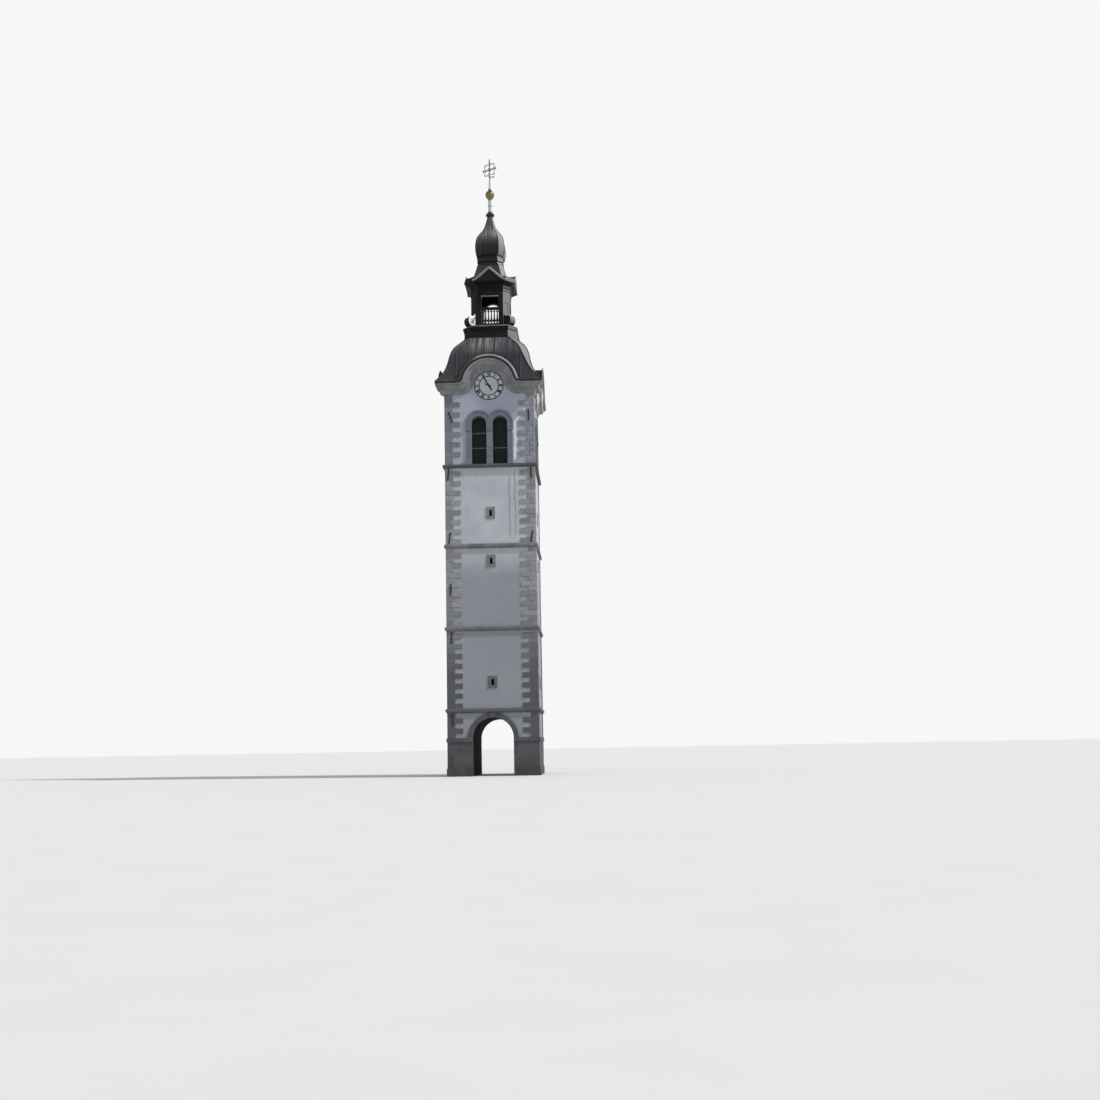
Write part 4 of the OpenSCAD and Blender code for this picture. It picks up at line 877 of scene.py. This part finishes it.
# Runs a tree on loose points or edges and keeps its result as a plain mesh
def grown(name, verts, edges, tree, settings, material):
    mesh = bpy.data.meshes.new(name)
    mesh.from_pydata(verts, edges, [])
    base = placed(name + "Base", mesh)
    modifier = base.modifiers.new("grow", "NODES")
    modifier.node_group = tree
    inputs = {**settings, "Metal": material}
    for item in tree.interface.items_tree:
        if item.in_out == "INPUT" and item.name in inputs:
            modifier[item.identifier] = inputs[item.name]
    result = plainMesh(base)
    result.name = name
    keepInBox(result.vertices)
    result.polygons.foreach_set("use_smooth", [True] * len(result.polygons))
    obj = placed(name, result)
    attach(obj, "tower")


def skinOf(name):
    data = nodes[name].data
    return BVHTree.FromPolygons([v.co for v in data.vertices], [list(p.vertices) for p in data.polygons])


bellSkin, browSkin = skinOf("bell_roof"), skinOf("eyebrow_roofs")
onionSkin, upperSkin, gabletSkin = skinOf("onion_dome"), skinOf("upper_roof"), skinOf("upper_gablets")


# Where a ray that goes back from y meets a skin
def struck(skin, x, z, y=-10):
    return skin.ray_cast(Vector((x, y, z)), Vector((0, 1, 0)))


# y of the front face at a place, or None off the face
def faceDepth(skin, x, z):
    spot, normal, _, _ = struck(skin, x, z)
    if spot is None or spot.y > -0.1 or abs(normal.x) > 0.3:
        return None
    return spot.y


def halfAt(skin, z, tries):
    found = [faceDepth(skin, x, z) for x in tries]
    found = [y for y in found if y is not None]
    return -min(found) if found else None


# Half width of the face between the corner facets
def cornerAt(skin, z, half):
    spot = skin.ray_cast(Vector((10, -10, z)), Vector((-1, 1, 0)).normalized())[0]
    return min(half, Vector((spot.x, spot.y)).length * math.sqrt(2) - half) if spot else None


# Paths for one side, repeated on all four
class Paths:
    def __init__(self):
        self.verts, self.edges = [], []

    def add(self, *paths):
        for points in paths:
            if len(points) < 2:
                continue
            for side in sides:
                base = len(self.verts)
                self.verts += [side @ Vector(p) for p in points]
                self.edges += [(base + i, base + i + 1) for i in range(len(points) - 1)]


def steps(a, b, count):
    return [a + (b - a) * i / count for i in range(count + 1)]


# If an eyebrow roof stands before a place
def covered(x, y, z):
    spot = struck(browSkin, x, z)[0]
    return spot is not None and spot.y < y + 0.02


# Stretches of a seam at x that lie on the front face
def faceRuns(skin, x, heights, hidden=None):
    runs, now = [], []
    for z in heights:
        y = faceDepth(skin, x, z)
        if y is None or (hidden and hidden(x, y, z)):
            runs.append(now)
            now = []
        else:
            now.append((x, y, z))
    return runs + [now]


# The two edges of a corner facet
def hipPaths(skin, heights, tries, inset):
    lines = ([], [])
    for z in heights:
        half = halfAt(skin, z, tries)
        corner = None if half is None else cornerAt(skin, z, half)
        if corner is not None:
            lines[0].append((corner - inset, -half + inset, z))
            lines[1].append((half - inset, -corner + inset, z))
    return lines


# Width, height, count of sides and metal of each kind of seam
seamOf = {
    "bellSeams": (0.06, 0.06, 8, seamSheet), "bellLocks": (0.012, 0.02, 6, bellSheet),
    "bellHips": (0.085, 0.085, 10, seamSheet), "eavesRolls": (0.05, 0.10, 8, seamSheet),
    "browSeams": (0.04, 0.05, 8, seamSheet), "browVerges": (0.07, 0.16, 10, browSheet),
    "browDrips": (0.05, 0.07, 8, seamSheet), "helmHips": (0.045, 0.045, 8, seamSheet),
    "helmSeams": (0.026, 0.034, 6, seamSheet), "gabletEdges": (0.07, 0.16, 8, edgeSheet),
}
seamNodes, studNodes = seamTree(), studTree()


def sweep(name, paths):
    width, height, count, metal = seamOf[name]
    size = {"Width": width, "Height": height, "Sides": count}
    grown(name, paths.verts, paths.edges, seamNodes, size, metal)


# Places of the bell roof's seams across a side, and the height from one cross lock to the next
bell = {"pitch": 0.79, "offset": -0.02, "outer": 2.72, "end": 3.0, "row": 1.9}


def makeBellSeams():
    upright, cross, hips, edge = Paths(), Paths(), Paths(), Paths()
    heights = steps(tower["eaves"] + 0.08, tower["bellTop"] - 0.01, 48)
    spots = [bell["pitch"] * (i - 2.5) + bell["offset"] for i in range(6)]
    for x in spots + [-bell["outer"], bell["outer"]]:
        upright.add(*faceRuns(bellSkin, x, heights, covered))
    chance = random.Random(4)
    columns = [-bell["end"], -bell["outer"]] + spots + [bell["outer"], bell["end"]]
    for a, b in zip(columns, columns[1:]):
        level = tower["eaves"] + 0.8 + chance.uniform(0, 1.2)
        while level < tower["bellTop"] - 0.3:
            ys = [faceDepth(bellSkin, x, level) for x in (a + 0.02, (a + b) / 2, b - 0.02)]
            if all(y is not None and not covered(x, y, level) for x, y in zip((a, (a + b) / 2, b), ys)):
                cross.add([(a + 0.02, ys[0], level), (b - 0.02, ys[2], level)])
            level += bell["row"]
    hips.add(*hipPaths(bellSkin, heights, (0.0, 0.9, 1.95, 2.3), 0.012))
    rim, foot = tower["rim"], tower["eaves"] + 0.01
    for s in (-1, 1):
        edge.add([(s * rim, -rim, foot), (s * brow["inner"], -rim, foot)])
    sweep("bellSeams", upright)
    sweep("bellLocks", cross)
    sweep("bellHips", hips)
    sweep("eavesRolls", edge)


brow = {"half": 1.98, "inner": 1.95, "rollHalf": 1.6, "rollBack": -2.2}


def browTop(x, y):
    spot = browSkin.ray_cast(Vector((x, y, 40)), Vector((0, 0, -1)))[0]
    return spot.z if spot else None


# An outline in x and z, moved out square to itself
def lifted(outline, by, y):
    points = []
    for i, (x, z) in enumerate(outline):
        a, b = outline[max(i - 1, 0)], outline[min(i + 1, len(outline) - 1)]
        along = Vector((b[0] - a[0], b[1] - a[1])).normalized()
        points.append((x - along.y * by, y, z + along.x * by))
    return points


def makeBrowSeams():
    rolls, verge, drip = Paths(), Paths(), Paths()
    front = -tower["rim"]
    outline = [(x, browTop(x, front)) for x in steps(-brow["half"], brow["half"], 96)]
    outline = [(x, z) for x, z in outline if z is not None and z > tower["eaves"] + 0.02]
    verge.add(lifted(outline, seamOf["browVerges"][1] / 2, front + 0.015))
    drip.add(lifted(outline, -0.04, front - 0.002))
    for i in range(-4, 5):
        x = brow["rollHalf"] * math.sin(math.radians(i * 20))
        z = browTop(x, front)
        if z is None:
            continue
        spot = struck(bellSkin, x, z + 0.03, front - 0.005)[0]
        back = spot.y if spot and spot.y < -1.5 else brow["rollBack"]
        if back > front + 0.15:
            rolls.add([(x, front + 0.05, z), (x, (front + back) / 2, z), (x, back + 0.05, z)])
    sweep("browSeams", rolls)
    sweep("browVerges", verge)
    sweep("browDrips", drip)


gablet = {"half": 1.03, "height": 0.81, "shares": [(1, 0), (0.86, 0.07), (0.66, 0.24), (0.34, 0.6), (0, 1)]}
helm = {"upperSeams": (-0.45, 0.0, 0.45), "onionSeams": (-0.3, 0.3), "edgeLift": 0.035}


# Cuts the corners of an open line twice and keeps its ends
def softened(points):
    for _ in range(2):
        cut = [points[0]]
        for (x0, z0), (x1, z1) in zip(points, points[1:]):
            cut += [(a * x0 + b * x1, a * z0 + b * z1) for a, b in ((0.75, 0.25), (0.25, 0.75))]
        points = cut + [points[-1]]
    return points


def makeHelmSeams():
    hips, thin, pale = Paths(), Paths(), Paths()
    heights = steps(tower["upperRoof"] + 0.03, tower["neck"] - 0.02, 24)
    hips.add(*hipPaths(upperSkin, heights, (0.0, 0.5, 1.2), 0.01))
    for x in helm["upperSeams"]:
        for run in faceRuns(upperSkin, x, heights):
            thin.add([p for p in run if struck(gabletSkin, x, p[2])[0] is None])
    low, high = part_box("upper_gablets")
    front = low[1]
    wide, tall = gablet["half"], gablet["height"]
    right = softened([(wide * a, high[2] - tall * (1 - b)) for a, b in gablet["shares"]])
    pale.add(lifted([(-x, z) for x, z in right[:-1]] + right[::-1], helm["edgeLift"], front - 0.01))
    half = halfAt(upperSkin, high[2] - 0.03, (0.0, 0.5))
    thin.add([(0, front, high[2]), (0, (front - half) / 2, high[2]), (0, -half - 0.02, high[2])])
    heights = steps(tower["onion"] + 0.02, tower["collar"] - 0.02, 60)
    hips.add(*hipPaths(onionSkin, heights, (0.0, 0.1), 0.006))
    for x in helm["onionSeams"]:
        thin.add(*faceRuns(onionSkin, x, heights))
    sweep("helmHips", hips)
    sweep("helmSeams", thin)
    sweep("gabletEdges", pale)


makeBellSeams()
makeBrowSeams()
makeHelmSeams()
print("seams made")


dial = {"ringOut": 0.905, "ringIn": 0.615, "band": 0.052, "numeral": 0.185, "stroke": 0.046, "thin": 0.022,
        "rear": -2.699, "ringFace": -2.7075, "markFace": -2.705, "tickIn": 0.825, "tickOut": 0.86,
        "tick": 0.011, "hourTick": 0.020, "numeralFoot": 0.635}
numeralShapes = ["XII", "I", "II", "III", "IIII", "V", "VI", "VII", "VIII", "IX", "X", "XI"]
# A letter's width, then where each stroke has its foot and its top, and if it is thick
strokesOf = {"I": (0.26, [(0.13, 0.13, True)]),
             "V": (0.62, [(0.31, 0.10, True), (0.31, 0.52, False)]),
             "X": (0.66, [(0.56, 0.10, True), (0.10, 0.56, False)])}


def addPlate(bm, outline, place, back, frontY):
    rear = [bm.verts.new(place @ Vector((x, back, z))) for x, z in outline]
    face = [bm.verts.new(place @ Vector((x, frontY, z))) for x, z in outline]
    bm.faces.new(rear)
    bm.faces.new(list(reversed(face)))
    n = len(outline)
    for i in range(n):
        bm.faces.new((rear[(i + 1) % n], rear[i], face[i], face[(i + 1) % n]))


def addRing(bm, inner, outer, place, back, frontY):
    parts = 96
    corners = ((inner, back), (outer, back), (outer, frontY), (inner, frontY))
    loops = []
    for i in range(parts):
        turn = place @ Matrix.Rotation(2 * math.pi * i / parts, 4, "Y")
        loops.append([bm.verts.new(turn @ Vector((0, y, r))) for r, y in corners])
    for i in range(parts):
        one, two = loops[i], loops[(i + 1) % parts]
        for j in range(4):
            bm.faces.new((one[j], one[(j + 1) % 4], two[(j + 1) % 4], two[j]))


def makeDials():
    bm = bmesh.new()
    d = dial
    h, inner, outer = d["numeral"], d["tickIn"], d["tickOut"]
    low, high = d["numeralFoot"], d["numeralFoot"] + h
    for side in sides:
        centre = side @ Matrix.Translation((0, 0, tower["clock"]))
        for r in (d["ringOut"], d["ringIn"]):
            addRing(bm, r - d["band"], r, centre, d["rear"], d["ringFace"])
        for minute in range(60):
            turn = centre @ Matrix.Rotation(math.radians(6 * minute), 4, "Y")
            w = d["tick"] if minute % 5 else d["hourTick"]
            addPlate(bm, [(-w, inner), (w, inner), (w, outer), (-w, outer)], turn, d["rear"], d["markFace"])
        for hour, text in enumerate(numeralShapes):
            turn = centre @ Matrix.Rotation(math.radians(30 * hour), 4, "Y")
            x = -sum(strokesOf[letter][0] for letter in text) * h / 2
            for letter in text:
                width, strokes = strokesOf[letter]
                for foot, top, thick in strokes:
                    w = (d["stroke"] if thick else d["thin"]) / 2
                    a, b = x + foot * h, x + top * h
                    addPlate(bm, [(a - w, low), (a + w, low), (b + w, high), (b - w, high)], turn,
                             d["rear"], d["markFace"])
                x += width * h
    bmesh.ops.recalc_face_normals(bm, faces=bm.faces)
    mesh = bpy.data.meshes.new("dialMarks")
    bm.to_mesh(mesh)
    bm.free()
    mesh.materials.append(blackPaint)
    marks = placed("dialMarks", mesh)
    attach(marks, "tower")


makeDials()


def makeNails():
    spots = []
    rise = shutter["nailRise"]
    for side in sides:
        for s, up in ((-1, shutter["lowLedge"]), (-1, shutter["highLedge"]), (1, shutter["lowLedge"])):
            for i in range(8):
                x = belfry["openingX"] * s + shutter["board"] * (i - 3.5)
                for dz in (-rise, rise):
                    spots.append(side @ Vector((x, shutter["nailY"], tower["belfry"] + up + dz)))
    grown("ledgeNails", spots, [], studNodes, {"Radius": 0.010}, iron)


makeNails()
print("dials and nails made")
